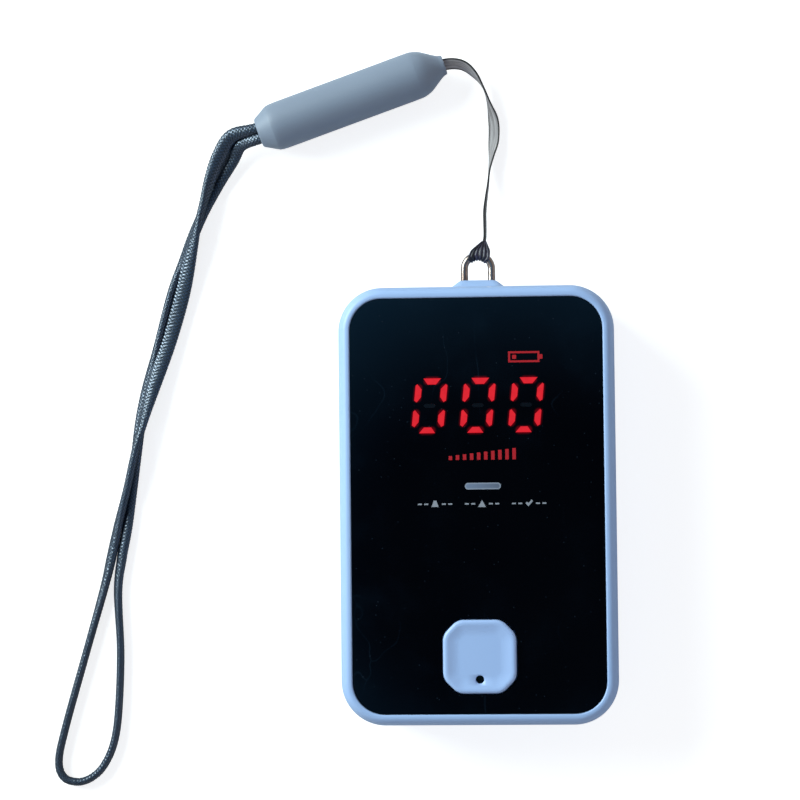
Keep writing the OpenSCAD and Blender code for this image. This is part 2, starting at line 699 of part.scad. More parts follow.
module lamp_guide() color([0.45, 0.52, 0.62]) translate([lamp_x, lamp_y, 0]) {
    slab(round_rect(lamp_l, lamp_h, lamp_h / 2 - fit), board_top + 0.7, panel_top - sink - board_top - 0.7);
    slab(round_rect(lamp_l + 1.2, lamp_h + 1.2, 1), board_top + 0.7, seat_bottom - board_top - 0.7);
}

// ------------------------------------------------------------- test button

button_rings = [for (r = [[0, flange_top - flange_t], [0, button_top - 0.6], [0.12, button_top - 0.3],
    [0.35, button_top - 0.1], [0.75, button_top]]) at_height(button_outline(-r[0]), r[1])];

// The hollow for the finger, cut from just above the face: a slope down to a flat middle
dish_rings = [for (t = [1, 0.8, 0.6, 0.4, 0.2, -0.1])
    at_height(button_outline(-dish_in - dish_w * t), button_top - dish_h * sin(90 * t))];

module button_cap() color([0.6, 0.72, 0.9]) {
    pocket_top = button_top - 1.5;
    translate([button_x, button_y, 0]) {
        difference() {
            union() {
                loft(button_rings);
                slab(button_outline(flange_w), flange_top - flange_t, flange_t);
            }
            slab(round_rect(button_w - 3.4, button_w - 3.4, 1.5), flange_top - flange_t - eps,
                pocket_top - flange_top + flange_t + eps);
            loft(dish_rings);
            translate([0, -pinhole_drop, pocket_top - eps]) cylinder(d = pinhole_d, h = 4);
        }
        translate([0, 0, plunger_top]) cylinder(d = plunger_d, h = pocket_top - plunger_top + fit);
    }
}

module switch_plunger() color([0.2, 0.2, 0.2]) translate([button_x, button_y, plunger_bottom])
    cylinder(d = plunger_d, h = plunger_top - plunger_bottom);

module test_switch() color([0.7, 0.71, 0.72]) translate([button_x, button_y, board_top]) difference() {
    union() {
        translate([-switch_w / 2, -switch_w / 2, 0]) cube([switch_w, switch_w, switch_h]);
        for (x = [-1, 1], y = [-1, 1]) translate([x * 3.4 - 0.6, y * 2.2 - 0.4, 0])
            cube([1.2, 0.8, 0.3]);
    }
    translate([0, 0, plunger_bottom - board_top - button_travel - 0.1])
        cylinder(d = plunger_d + 0.2, h = 5);
}

// ------------------------------------------------------------- electronics

module display_block() color([0.85, 0.85, 0.82]) translate([digit_x, block_y, 0])
    slab(round_rect(display_w, display_l, 0.6), board_top, block_top - board_top);

module status_leds() color([0.95, 0.9, 0.6]) for (i = [-1 : 1])
    translate([lamp_x + 2.3 * i - 0.6, lamp_y - 0.4, board_top]) cube([1.2, 0.8, 0.6]);

module main_board() color([0.1, 0.35, 0.2]) difference() {
    slab(body_outline(hollow_in + ease), board_bottom, board_t);
    at_places(screw_places) translate([0, 0, board_bottom - eps])
        cylinder(d = boss_d + 2 * ease, h = board_t + 2 * eps);
    at_places(post_places) translate([0, 0, board_bottom - eps])
        cylinder(d = board_screw_d + 0.3, h = board_t + 2 * eps);
    block([loop_x - clamp_half - ease, clamp_in - clamp_l - ease, board_bottom - eps],
        [loop_x + clamp_half + ease, body_l, board_top + eps]);
}

// Chips between the two rows of posts: one large, two small, and two rows of little ones
module board_chips() color([0.13, 0.13, 0.14]) translate([0, chips_y, 0]) {
    slab(round_rect(chip_w, chip_w, 0.05 * chip_w), board_top, chip_t);
    translate([-1.5 * chip_w, 0, 0]) slab(round_rect(0.7 * chip_w, 0.6 * chip_w, 0.05 * chip_w),
        board_top, chip_t);
    translate([1.6 * chip_w, 0, 0]) slab(round_rect(0.63 * chip_w, 0.5 * chip_w, 0.05 * chip_w),
        board_top, chip_t);
    for (i = [-2 : 2]) translate([1.15 * chip_w * i, chip_row, 0])
        slab(round_rect(little_chip_l, little_chip_l / 2, little_chip_l / 16), board_top, little_chip_l / 3);
    for (i = [-1.5 : 1.5]) translate([1.3 * chip_w * i, -chip_row, 0])
        slab(round_rect(little_chip_l / 2, little_chip_l, little_chip_l / 16), board_top, little_chip_l / 3);
}

module gas_sensor() color([0.75, 0.76, 0.78]) translate([sensor_x, can_y, board_bottom - sensor_h])
    difference() {
        cylinder(d = sensor_d, h = sensor_h);
        translate([0, 0, -eps]) cylinder(d = sensor_d / 3, h = 0.6 + eps);
    }

module ring_gasket(d, low, high) {
    translate([0, 0, low]) difference() {
        cylinder(d = d, h = high - low);
        translate([0, 0, -eps]) cylinder(d = d - 2 * gasket_t, h = high - low + 2 * eps);
    }
}

module sensor_gasket() color([0.15, 0.15, 0.16]) translate([sensor_x, can_y, 0])
    ring_gasket(sensor_d, wall, board_bottom - sensor_h);

module dust_filter() color([0.95, 0.95, 0.93]) translate([sensor_x, can_y, wall])
    cylinder(d = sensor_d - 2 * gasket_t - 2 * fit, h = filter_t);

module buzzer() color([0.1, 0.1, 0.1]) translate([buzzer_x, can_y, board_bottom - buzzer_h])
    difference() {
        cylinder(d = buzzer_d, h = buzzer_h);
        translate([0, 0, -eps]) cylinder(d = 2.2, h = 2 + eps);
    }

module buzzer_gasket() color([0.18, 0.18, 0.19]) translate([buzzer_x, can_y, 0])
    ring_gasket(buzzer_d, wall, board_bottom - buzzer_h);

// Places of the two cells: height along Y, and the side that the nub points to
cell_rows = [[low_cell_y, 1], [high_cell_y, -1]];

module battery_cells() color([0.2, 0.3, 0.5]) for (row = cell_rows)
    translate([row[1] * (cell_l - spring_l - cell_l) / 2, 0, 0]) translate([0, row[0], cell_z])
        mirror([row[1] < 0 ? 1 : 0, 0, 0]) rotate([0, 90, 0]) translate([0, 0, spring_l - cell_l / 2]) {
            cylinder(d = cell_d, h = cell_l - nub_l);
            cylinder(d = nub_d, h = cell_l);
        }

module contact_plates() color([0.8, 0.78, 0.7]) for (row = cell_rows, s = [-1, 1])
    translate([s * (bay_half - plate_t / 2), row[0], 0]) {
        translate([-plate_t / 2, -plate_w / 2, rail_z + rail_h])
            cube([plate_t, plate_w, rib_top - rail_z - rail_h]);
        translate([-plate_t / 2, -1, rib_top - fit]) cube([plate_t, 2, board_bottom - rib_top + fit]);
    }

// Conical springs that press on the flat ends of the cells
function spring_points(turns) = [for (i = [0 : 8 * turns])
    let (t = i / (8 * turns), r = cell_d * (0.295 - 0.105 * t))
    [spring_wire / 2 + (spring_l - spring_wire) * t, r * cos(45 * i), r * sin(45 * i)]];
function least_gap(p) = min([for (i = [0 : len(p) - 1], k = [i + 5 : len(p) - 1])
    norm(p[i] - p[k]) - spring_wire]);
echo(least_gap_between_spring_turns = least_gap([for (p = spring_points(spring_turns)) p]));

module contact_springs() color([0.82, 0.8, 0.75]) for (row = cell_rows)
    translate([-row[1] * (bay_half - plate_t), row[0], cell_z]) rotate([0, 0, row[1] > 0 ? 0 : 180])
        tube(spring_points(spring_turns), spring_wire, 6, [1, 0, 0]);

module board_screws() color([0.6, 0.6, 0.62]) at_places(post_places) difference() {
    union() {
        translate([0, 0, board_bottom - board_head_h]) cylinder(d = board_head_d, h = board_head_h);
        translate([0, 0, board_bottom - fit]) cylinder(d = board_screw_d, h = board_shank + fit);
    }
    for (a = [0, 90]) rotate(a)
        translate([-0.29 * board_head_d, -0.065 * board_head_d, board_bottom - board_head_h - eps])
            cube([0.58 * board_head_d, 0.13 * board_head_d, board_head_h / 2 + eps]);
}

// ----------------------------------------------------------------- lanyard

module wire_loop() color([0.8, 0.8, 0.82]) translate([loop_x, 0, parting_z]) {
    translate([0, loop_y, 0]) rotate_extrude(angle = 180) translate([loop_r, 0]) circle(r = wire_r);
    for (s = [-1, 1]) translate([s * loop_r, foot_y, 0]) {
        rotate([-90, 0, 0]) cylinder(r = wire_r, h = loop_y - foot_y);
        sphere(r = wire_r);
        rotate([0, s * 90, 0]) cylinder(r = wire_r, h = foot_l);
    }
}

// The ribbon's folds gathered round the top of the wire loop
module ribbon_hitch() color([0.16, 0.17, 0.24]) difference() {
    loft([for (r = [[loop_y + 1.2, 2.4, 2, 0], [loop_y + loop_r + wire_r + 0.4, 2.2, 1.9, 0.3],
        [loop_y + loop_r + wire_r + 1.8, 1.6, 1.5, 0.7],
        [ribbon_route[0].y, ribbon_d / 2 + 0.1, ribbon_d / 2 + 0.1, ribbon_route[0].x - loop_x]])
        let (t = max(0, (r[0] - loop_y - loop_r) / (ribbon_route[0].y - loop_y - loop_r)),
            z = parting_z + (ribbon_route[0].z - parting_z) * t)
        [for (a = [0 : 30 : 330]) [loop_x + r[3] + r[1] * sin(a), r[0], z + r[2] * cos(a)]]]);
    translate([loop_x, loop_y, parting_z]) {
        rotate_extrude() translate([loop_r, 0]) circle(r = wire_r + fit);
        cylinder(r = loop_r - wire_r - 0.5, h = 12, center = true);
    }
}

module tether_ribbon() color([0.3, 0.3, 0.32])
    tube(even(smooth(ribbon_route), ring_step), ribbon_d, 8, [0, 0, 1]);

// Half outline of the sleeve, from the mouth at 0 to the neck at its far end
module sleeve_profile() {
    r = sleeve_d / 2;
    polygon([[0, 0], [2.7, 0], [r * 0.73, 1], [r * 0.88, 2], [r * 0.955, 3.2], [r * 0.99, 4.6], [r, 6],
        [r, sleeve_l - 7.2], [r * 0.97, sleeve_l - 5.6], [r * 0.87, sleeve_l - 4.2],
        [r * 0.7, sleeve_l - 2.9], [r * 0.54, sleeve_l - 1.7], [r * 0.45, sleeve_l - 0.8],
        [r * 0.41, sleeve_l], [0, sleeve_l]]);
}

module in_sleeve() {
    translate([mouth.x, mouth.y, sleeve_z]) rotate([0, 0, sleeve_turn]) rotate([0, 90, 0]) children();
}

module grip_sleeve() color([0.5, 0.55, 0.63]) in_sleeve() difference() {
    rotate_extrude() sleeve_profile();
    translate([0, 0, 3]) cylinder(d = bore_d + 2 * fit, h = sleeve_l - 9);
    for (s = [-1, 1]) translate([0, s * 1.15, -eps]) cylinder(d = cord_d + 0.6, h = 4);
    translate([-cord_d / 2 - 0.3, -1.15, -eps]) cube([cord_d + 0.6, 2.3, 4]);
    translate([0, 0, sleeve_l - 7]) cylinder(d = ribbon_d + 0.6, h = 8);
}

module cord_anchor() color([0.6, 0.58, 0.5]) in_sleeve()
    translate([0, 0, anchor_from]) cylinder(d = bore_d, h = anchor_to - anchor_from);

module wrist_cord() color([0.12, 0.17, 0.2])
    tube(even(smooth(cord_route), ring_step), cord_d, 8, [0, 0, 1]);

front_frame();
rear_shell();
battery_door();
display_panel();
panel_tape();
lit_segments();
unlit_segments();
battery_mark();
level_bars();
status_marks();
lamp_guide();
button_cap();
switch_plunger();
test_switch();
display_block();
status_leds();
main_board();
board_chips();
gas_sensor();
sensor_gasket();
dust_filter();
buzzer();
buzzer_gasket();
battery_cells();
contact_plates();
contact_springs();
housing_screws();
board_screws();
wire_loop();
ribbon_hitch();
tether_ribbon();
grip_sleeve();
cord_anchor();
wrist_cord();
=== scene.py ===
# %% [markdown]
# # A pocket carbon monoxide detector on its wrist lanyard
# The detector lies on its back on a pale table: a pale case, a black panel with
# red digits, a square test button, and a lanyard of ribbon, grip sleeve and
# braided cord. The measured frame gives every piece its place, and this lesson
# gives it its looks. Lengths are written in millimetres and turned into metres
# once, in the helper that makes a mesh.

import bmesh
import bpy
import mathutils
import numpy as np
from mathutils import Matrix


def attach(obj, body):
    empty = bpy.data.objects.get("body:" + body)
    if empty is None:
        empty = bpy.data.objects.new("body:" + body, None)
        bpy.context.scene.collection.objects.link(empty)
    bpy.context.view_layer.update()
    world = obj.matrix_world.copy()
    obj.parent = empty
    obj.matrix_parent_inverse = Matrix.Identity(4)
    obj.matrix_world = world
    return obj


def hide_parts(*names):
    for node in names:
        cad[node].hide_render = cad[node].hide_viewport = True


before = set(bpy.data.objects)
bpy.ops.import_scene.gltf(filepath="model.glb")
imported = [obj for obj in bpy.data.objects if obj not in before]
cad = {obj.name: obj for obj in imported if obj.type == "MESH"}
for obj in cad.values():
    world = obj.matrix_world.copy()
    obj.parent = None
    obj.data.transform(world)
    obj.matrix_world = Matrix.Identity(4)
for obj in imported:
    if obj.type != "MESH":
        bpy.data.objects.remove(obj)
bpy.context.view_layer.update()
print("pieces in the frame:", len(cad))

# %% [markdown]
# ## The camera
# The photograph looks almost straight down from 45 cm, a little from the right
# and from above. A long lens keeps the case nearly square to the picture. The
# place and the turn were worked out from the case's corners in the photograph.

# %% Camera
camera_data = bpy.data.cameras.new("camera")
camera_data.lens = 97.99
camera_data.sensor_width = 36
camera_data.clip_start = 0.01
camera = bpy.data.objects.new("camera", camera_data)
camera.location = (0.0073, 0.0040, 0.450)
camera.rotation_euler = np.radians((2.22, 3.0, -0.61))
bpy.context.collection.objects.link(camera)
bpy.context.scene.camera = camera

# %% [markdown]
# ## From a grid of points to a mesh
# Nearly every piece here is a grid: rows of points, each row a ring or a strip.
# The grid is worked out as one array, and this helper joins neighbours into
# quads. Each row closes on itself, and the first and last rows get a lid or meet.

# %% Grid to mesh
def grid_mesh(name, points, loop=False, uv=None, sharp=35):
    """Point (row, column) joins its neighbours (row + 1, column) and (row, column + 1).

    Each row is a closed ring. loop joins the last row to the first. Without it, a fan
    from the middle of the first and of the last row is a lid. Points are in
    millimetres. Edges that turn by more than sharp degrees stay sharp. A closed
    grid whose volume comes out negative is inside out, and is turned round.
    """
    rows, cols = points.shape[:2]
    index = np.arange(rows * cols).reshape(rows, cols)
    index = np.hstack([index, index[:, :1]])
    if loop:
        index = np.vstack([index, index[:1]])
    quads = np.stack([index[:-1, :-1], index[:-1, 1:], index[1:, 1:], index[1:, :-1]], axis=-1)
    faces = quads.reshape(-1, 4).tolist()
    flat = points.reshape(-1, 3)
    if not loop:
        flat = np.vstack([flat, points[0].mean(axis=0), points[-1].mean(axis=0)])
        first, last = index[0], index[-1]
        start, end = rows * cols, rows * cols + 1
        faces += np.stack([first[1:], first[:-1], np.full(len(first) - 1, start)], 1).tolist()
        faces += np.stack([last[:-1], last[1:], np.full(len(last) - 1, end)], 1).tolist()
    mesh = bpy.data.meshes.new(name)
    mesh.from_pydata((flat * 0.001).tolist(), [], faces)
    if uv is not None:
        layer = mesh.uv_layers.new(name="along")
        corners = np.stack([uv[:-1, :-1], uv[:-1, 1:], uv[1:, 1:], uv[1:, :-1]], axis=2)
        values = np.zeros((len(mesh.loops), 2))
        values[: corners.reshape(-1, 2).shape[0]] = corners.reshape(-1, 2)
        layer.data.foreach_set("uv", values.ravel())
    work = bmesh.new()
    work.from_mesh(mesh)
    if work.calc_volume(signed=True) < 0:
        bmesh.ops.reverse_faces(work, faces=work.faces)
    work.to_mesh(mesh)
    work.free()
    mesh.shade_smooth()
    mesh.set_sharp_from_angle(angle=np.radians(sharp))
    piece = bpy.data.objects.new(name, mesh)
    bpy.context.collection.objects.link(piece)
    print(name, "has", len(mesh.polygons), "faces")
    return piece


# %% [markdown]
# ## A section carried along a path
# The cord, the ribbon and the steel wire are all the same idea: a small closed
# section that travels along a line. At each step the section stands square to the
# line. The rolling angle says how far a flat section is turned on its edge.

# %% Curves and sweeps
def smooth_line(route, steps=24):
    """Catmull-Rom curve: each stretch bends by the points before and after it."""
    p = np.vstack([route[:1], route, route[-1:]])
    a, b, c, d = (p[i : len(route) - 1 + i, None, :] for i in range(4))
    t = np.linspace(0, 1, steps, endpoint=False)[None, :, None]
    line = b + 0.5 * t * (c - a + t * (2 * a - 5 * b + 4 * c - d + t * (3 * (b - c) + d - a)))
    return np.vstack([line.reshape(-1, p.shape[1]), route[-1:]])


def even_line(line, step):
    """The same line cut into equal steps. Its first three columns are the place."""
    run = np.concatenate([[0], np.cumsum(np.linalg.norm(np.diff(line[:, :3], axis=0), axis=1))])
    at = np.linspace(0, run[-1], int(round(run[-1] / step)) + 1)
    return np.stack([np.interp(at, run, column) for column in line.T], axis=1), at


def carried(line, section, roll=0.0):
    """Ring = point + x * across + y * over, with the section's x and y.

    ahead is the line's direction, across is ahead x up, and over is across x ahead.
    roll, in degrees, first turns the section about the line.
    """
    ahead = np.gradient(line, axis=0)
    ahead /= np.linalg.norm(ahead, axis=1, keepdims=True)
    across = np.cross(ahead, (0.0, 0.0, 1.0))
    across /= np.linalg.norm(across, axis=1, keepdims=True)
    over = np.cross(across, ahead)
    turn = np.radians(np.zeros(len(line)) + roll)[:, None]
    x = section[..., 0] * np.cos(turn) - section[..., 1] * np.sin(turn)
    y = section[..., 0] * np.sin(turn) + section[..., 1] * np.cos(turn)
    return line[:, None, :] + x[..., None] * across[:, None, :] + y[..., None] * over[:, None, :]


def oval(width, height, sides, power=2.0):
    """Closed section |2x / width| ** power + |2y / height| ** power = 1, from round to boxy."""
    a = 2 * np.pi * np.arange(sides) / sides
    c, s = np.cos(a), np.sin(a)
    return np.stack([
        width / 2 * np.sign(c) * np.abs(c) ** (2 / power),
        height / 2 * np.sign(s) * np.abs(s) ** (2 / power),
    ], axis=1)


def widened(section, widths):
    """One copy of the section for each width, its x times that width."""
    return section[None] * np.stack([widths, np.ones(len(widths))], axis=1)[:, None, :]


def along_uv(sides, run):
    """UV of a carried tube: u is the run along it and v goes from 0 to 1 round it."""
    return np.stack(np.meshgrid(np.linspace(0, 1, sides + 1), run)[::-1], axis=-1)


# %% [markdown]
# ## The braided wrist cord
# The cord is a flat hollow braid, 2.2 mm wide and 1.5 mm thick. It leaves the
# sleeve, runs down doubled, opens into a loop and comes back. Limp cord turns as it
# runs: on edge where the strands cross and in the loop, flat and spread wider where
# one strand rests on the other. Each point of the route therefore has a place, a
# roll and a width. The yarns of the braid are raised in the mesh itself, because
# they show along the cord's edge.

# %% Wrist cord
cord_points = np.array([
    [-38, 80.4, 4.9, 0, 2.2], [-45, 78, 4.9, 0, 2.3], [-50.2, 76.7, 3.9, 8, 2.8], [-52.9, 72.9, 3, 12, 3],
    [-54.9, 68, 2.8, 25, 2.5], [-56.7, 61.5, 3.3, 85, 2], [-58.7, 54.8, 2.5, 145, 3],
    [-61.2, 45, 1.3, 166, 3.9], [-64.1, 34.7, 1.3, 168, 3.7], [-67.3, 24.6, 2.2, 165, 3],
    [-69.2, 17.8, 2.9, 140, 2.2], [-71, 11, 3.3, 100, 1.9], [-72.7, 4, 2.6, 105, 2],
    [-74.8, -3.5, 1.3, 130, 2.2], [-76.4, -10.5, 0.95, 148, 2.2], [-78, -17, 0.95, 130, 2],
    [-82, -31, 1.1, 98, 2], [-86, -45, 1.1, 92, 2], [-87.5, -52, 1.1, 90, 2], [-86.5, -55.5, 1.1, 90, 2],
    [-83.5, -56.5, 1.1, 90, 2], [-80.5, -55.5, 1.1, 90, 2], [-78, -53, 1.1, 90, 2],
    [-76, -48.5, 1.1, 90, 2], [-75, -42, 1.1, 90, 2], [-74.5, -30, 1.1, 85, 2],
    [-75, -17.5, 0.95, 50, 2], [-74.2, -10.5, 0.9, 30, 2.2], [-73, -4, 0.9, 20, 2.2],
    [-72, 3.5, 0.9, 10, 2.2], [-71, 11, 1, 10, 2.2], [-70, 18.5, 0.9, 8, 2.2], [-68.6, 25.5, 0.8, 30, 2.1],
    [-66.1, 34.8, 1.1, 85, 2], [-63.3, 45.2, 1.1, 85, 2], [-60.9, 51.4, 0.9, 45, 2],
    [-58.8, 56.5, 0.8, 10, 2.2], [-56.5, 61.5, 0.9, 5, 2.2], [-53.5, 67, 1.1, 10, 2.5],
    [-50.5, 72, 1.6, 10, 3], [-48.5, 75, 3, 5, 3],
    [-44, 76, 4.9, 0, 2.2], [-37.2, 78.2, 4.9, 0, 2.2],
])
cord_width = 2.2
cord_thick = 1.5
cord_step = 0.13
yarn_rise = 0.2
yarn_sink = 0.06
core_less = 0.14
cord_line, cord_run = even_line(smooth_line(cord_points), cord_step)


def plait_height(around, along, yarns_round=8, yarns_per_mm=1.36):
    """Two slanting waves |sin(pi * (along +- around))|; a checkerboard says which is on top."""
    one = along * yarns_per_mm + around * yarns_round
    two = along * yarns_per_mm - around * yarns_round
    on_top = (np.floor(one) + np.floor(two)) % 2 > 0.5
    return np.where(on_top, np.abs(np.sin(np.pi * one)), np.abs(np.sin(np.pi * two)))


cord_sides = 28
cord_section = widened(oval(1, cord_thick - core_less, cord_sides, 2.2), cord_line[:, 4] - core_less)
cord_bulge = yarn_rise * plait_height(np.arange(cord_sides)[None, :] / cord_sides, cord_run[:, None])
cord_way = cord_section / np.linalg.norm(cord_section, axis=2, keepdims=True)
cord_section = cord_section + (cord_bulge[..., None] - yarn_sink) * cord_way
cord_rings = carried(cord_line[:, :3], cord_section, cord_line[:, 3])
cord_uv = along_uv(cord_sides, cord_run / cord_width)
wrist_cord = grid_mesh("braided_cord", cord_rings, uv=cord_uv, sharp=180)
print("cord length, mm:", round(cord_run[-1], 1))

# %% [markdown]
# ## The satin ribbon
# A thin ribbon joins the sleeve to the steel loop. It stands on edge where it
# leaves the loop, so it looks like a thread, and then twists to show its face.
# Its ends narrow: it is gathered in the knot and in the sleeve's neck.

# %% Ribbon
ribbon_points = np.array([
    [1.8, 53.2, 8.7, 108, 1.4], [2, 54.5, 8.4, 106, 1.5], [2, 57, 7, 104, 1.9], [2, 60, 5, 102, 2.2],
    [2.3, 63, 3.2, 98, 2.3], [2.7, 66, 2, 93, 2.3], [3, 69, 1.4, 84, 2.4], [3.5, 72, 1.2, 62, 2.4],
    [4, 75.5, 1.1, 22, 2.4], [4, 79, 1.2, 24, 2.4], [3.2, 82.5, 1.6, 70, 2.4], [2, 86, 2.3, 90, 2.4],
    [0, 88.8, 3.2, 62, 2.4], [-2.5, 90.5, 4.2, 38, 2.4], [-6, 90.5, 4.9, 18, 2.4],
    [-10.5, 88.9, 4.9, 14, 2.2], [-15, 87.3, 4.9, 10, 1.8],
])
ribbon_width = 2.4
ribbon_thick = 0.4
ribbon_step = 0.3
ribbon_sides = 24
ribbon_line, ribbon_run = even_line(smooth_line(ribbon_points), ribbon_step)
ribbon_section = widened(oval(1, ribbon_thick, ribbon_sides, 3.2), ribbon_line[:, 4])
ribbon_rings = carried(ribbon_line[:, :3], ribbon_section, ribbon_line[:, 3])
ribbon_uv = along_uv(ribbon_sides, ribbon_run / ribbon_width)
tether_ribbon = grid_mesh("satin_ribbon", ribbon_rings, uv=ribbon_uv, sharp=60)
print("ribbon length, mm:", round(ribbon_run[-1], 1))

# %% [markdown]
# ## The steel wire loop
# A bent wire of 1.5 mm is clamped between the two shells: two straight legs, a
# round top and two feet that turn outwards inside the case. Polished wire shows
# every facet, so a smooth swept tube replaces the measured one.

# %% Wire loop
wire_thick = 1.5
loop_middle = np.array([0.5, 47.8, 9.0])
loop_radius = 2.75
foot_y = 40.8
foot_reach = 2.4
foot_bend = 0.75
wire_step = 0.22


def wire_path():
    """Foot, quarter turn at the foot's bend, leg and half the round top, and the same mirrored."""
    a = np.radians(np.linspace(-90, 0, 9))
    corner = np.stack([-loop_radius - foot_bend + foot_bend * np.cos(a),
                       foot_y + foot_bend + foot_bend * np.sin(a)], axis=1)
    start = np.array([[-loop_radius - foot_reach, foot_y]])
    arc = np.radians(np.linspace(180, 90, 33))
    top = np.stack([loop_radius * np.cos(arc), loop_middle[1] + loop_radius * np.sin(arc)], axis=1)
    half = np.vstack([start, corner, top])
    whole = np.vstack([half, (half * (-1, 1))[::-1][1:]])
    return np.column_stack([whole[:, 0] + loop_middle[0], whole[:, 1], np.full(len(whole), loop_middle[2])])


wire_line, _ = even_line(wire_path(), wire_step)
wire_loop = grid_mesh("steel_loop", carried(wire_line, oval(wire_thick, wire_thick, 24)))

# %% [markdown]
# ## The ribbon's knot
# The ribbon is hitched over the top of the wire, and its folds fan out round it.
# Across the fan, each fold goes round the wire's inner side, rises over the wire
# to a shoulder, and closes in on the ribbon above. A ripple makes the pleats.

# %% Hitch
fold_thick = 1.02
pleat_depth = 0.22
hitch_shoulder = np.array([-0.95, 51.5])
shoulder_width = 4.0
hitch_neck = np.array([1.8, 53.5])
neck_width = 0.9


def ramp(t):
    """t * t * (3 - 2 t), held between 0 and 1: a soft step."""
    t = np.clip(t, 0, 1)
    return t * t * (3 - 2 * t)


def hitch_surface(folds=6, across=121, around=56):
    """A fold at share u of the fan: round the wire, up to the shoulder, then to the neck.

    The wire's centre at u is loop_middle + radius * (sin turn, cos turn), turn from -50 to 56
    degrees. Where sin(s) is negative the ring goes round it, a fold's thickness away. Where it
    is positive, the two flanks mix from the wire to the shoulder and from there to the neck, by
    two soft steps of sin(s). |sin(folds * pi * u)| lifts the pleats on both flanks.
    """
    u = np.linspace(0, 1, across)[:, None]
    s = np.linspace(0, 2 * np.pi, around, endpoint=False)[None, :]
    turn = np.radians(-50 + 106 * u)
    outward = np.sin(s)
    rise = ramp(outward / 0.62)
    close = ramp((outward - 0.5) / 0.5)
    pleat = np.abs(np.sin(folds * np.pi * u + 0.5 * rise)) ** 0.8 - 0.5
    rim = np.sqrt(np.clip(1 - (2 * u - 1) ** 10, 0, 1))
    thick = (fold_thick + pleat_depth * pleat) * (0.5 + 0.5 * rim)
    reach = loop_radius + thick * np.minimum(outward, 0.3)
    x = loop_middle[0] + reach * np.sin(turn)
    y = loop_middle[1] + reach * np.cos(turn)
    shoulder_x = hitch_shoulder[0] + shoulder_width * u
    shoulder_y = hitch_shoulder[1] + 0.5 * np.sin(np.pi * u) + 0.12 * pleat
    x = x * (1 - rise) + shoulder_x * rise
    y = y * (1 - rise) + shoulder_y * rise
    x = x * (1 - close) + (hitch_neck[0] + (u - 0.5) * neck_width) * close
    y = y * (1 - close) + hitch_neck[1] * close
    flank = np.clip(np.cos(s) / 0.35, -1, 1)
    depth = thick * np.where(outward < 0, np.cos(s), flank)
    depth = depth * (1 - 0.12 * rise) * (1 - 0.62 * close)
    return np.stack([x, y, loop_middle[2] + depth - 0.3 * close], axis=-1)


ribbon_hitch = grid_mesh("ribbon_knot", hitch_surface(), sharp=75)

# %% [markdown]
# ## The grip sleeve
# The sleeve is a soft capsule with a bevelled mouth and a tapering neck. It is
# turned like a vase: a half outline goes round the sleeve's own axis.

# %% Sleeve
sleeve_start = np.array([-44.5, 77.0, 4.9])
sleeve_turn = np.radians(19.3)


def turned(outline, steps=72):
    """Ring(a) = axis + r * (sin a * side + cos a * up), for each (place along, r) of the outline."""
    along, r = outline[:, :1], outline[:, 1:2]
    a = 2 * np.pi * np.arange(steps)[None, :] / steps
    axis = np.array([np.cos(sleeve_turn), np.sin(sleeve_turn), 0])
    side = np.array([-np.sin(sleeve_turn), np.cos(sleeve_turn), 0])
    ring = (r * np.sin(a))[..., None] * side + (r * np.cos(a))[..., None] * np.array([0, 0, 1.0])
    return sleeve_start + along[..., None] * axis + ring


sleeve_outline = smooth_line(np.array([
    [0.55, 0.4], [0.5, 1.6], [0.1, 2.3], [0.05, 2.8], [0.3, 3.1], [1.0, 3.5], [2.0, 4.08], [2.9, 4.58],
    [3.3, 4.74], [4.2, 4.86], [6.0, 4.9], [12, 4.9], [20, 4.9], [28, 4.9], [33.6, 4.9], [35.2, 4.76],
    [36.6, 4.3], [37.9, 3.5], [39.1, 2.7], [40.0, 2.2], [40.7, 2.0], [40.78, 1.7], [40.5, 1.2], [40.4, 0.3],
]), 6)
grip_sleeve = grid_mesh("grip_sleeve_skin", turned(sleeve_outline), sharp=50)

# %% [markdown]
# ## The front of the case
# The front shell is a profile carried round the case. Seen in section it goes
# from the seam up the side, over a rounding on to a narrow flat lip, down to the
# ledge that the panel is stuck to, and back inside the wall. The case's outline is
# an inner rectangle plus a radius, so moving in or out only changes that radius.
# The boss at the wire loop is a swelling of the same wall.

# %% Case outline
case_half = np.array([27.7, 43.8])
corner_radius = 9.0
seam_height = 9.0
boss_height = 1.6
boss_reach = 6.1
boss_slope = 2.95
boss_spread = 4.2


def case_outline(corner_steps=24, top_steps=75):
    """Foot points on the inner rectangle, and the outward direction at each."""
    inner = case_half - corner_radius
    a = np.radians(np.linspace(0, 90, corner_steps + 1))
    quarter = np.stack([np.cos(a), np.sin(a)], axis=1)
    top_x = np.linspace(inner[0], -inner[0], top_steps + 2)[1:-1]
    feet, ways = [], []
    for k, (sx, sy) in enumerate([(1, 1), (-1, 1), (-1, -1), (1, -1)]):
        spin = np.array([[0, 1], [-1, 0]])
        ways.append(quarter @ np.linalg.matrix_power(spin, k))
        feet.append(np.ones((corner_steps + 1, 1)) * inner * (sx, sy))
        if k == 0:
            ways.append(np.ones((top_steps, 1)) * (0.0, 1.0))
            feet.append(np.column_stack([top_x, np.full(top_steps, inner[1])]))
    return np.vstack(feet), np.vstack(ways)


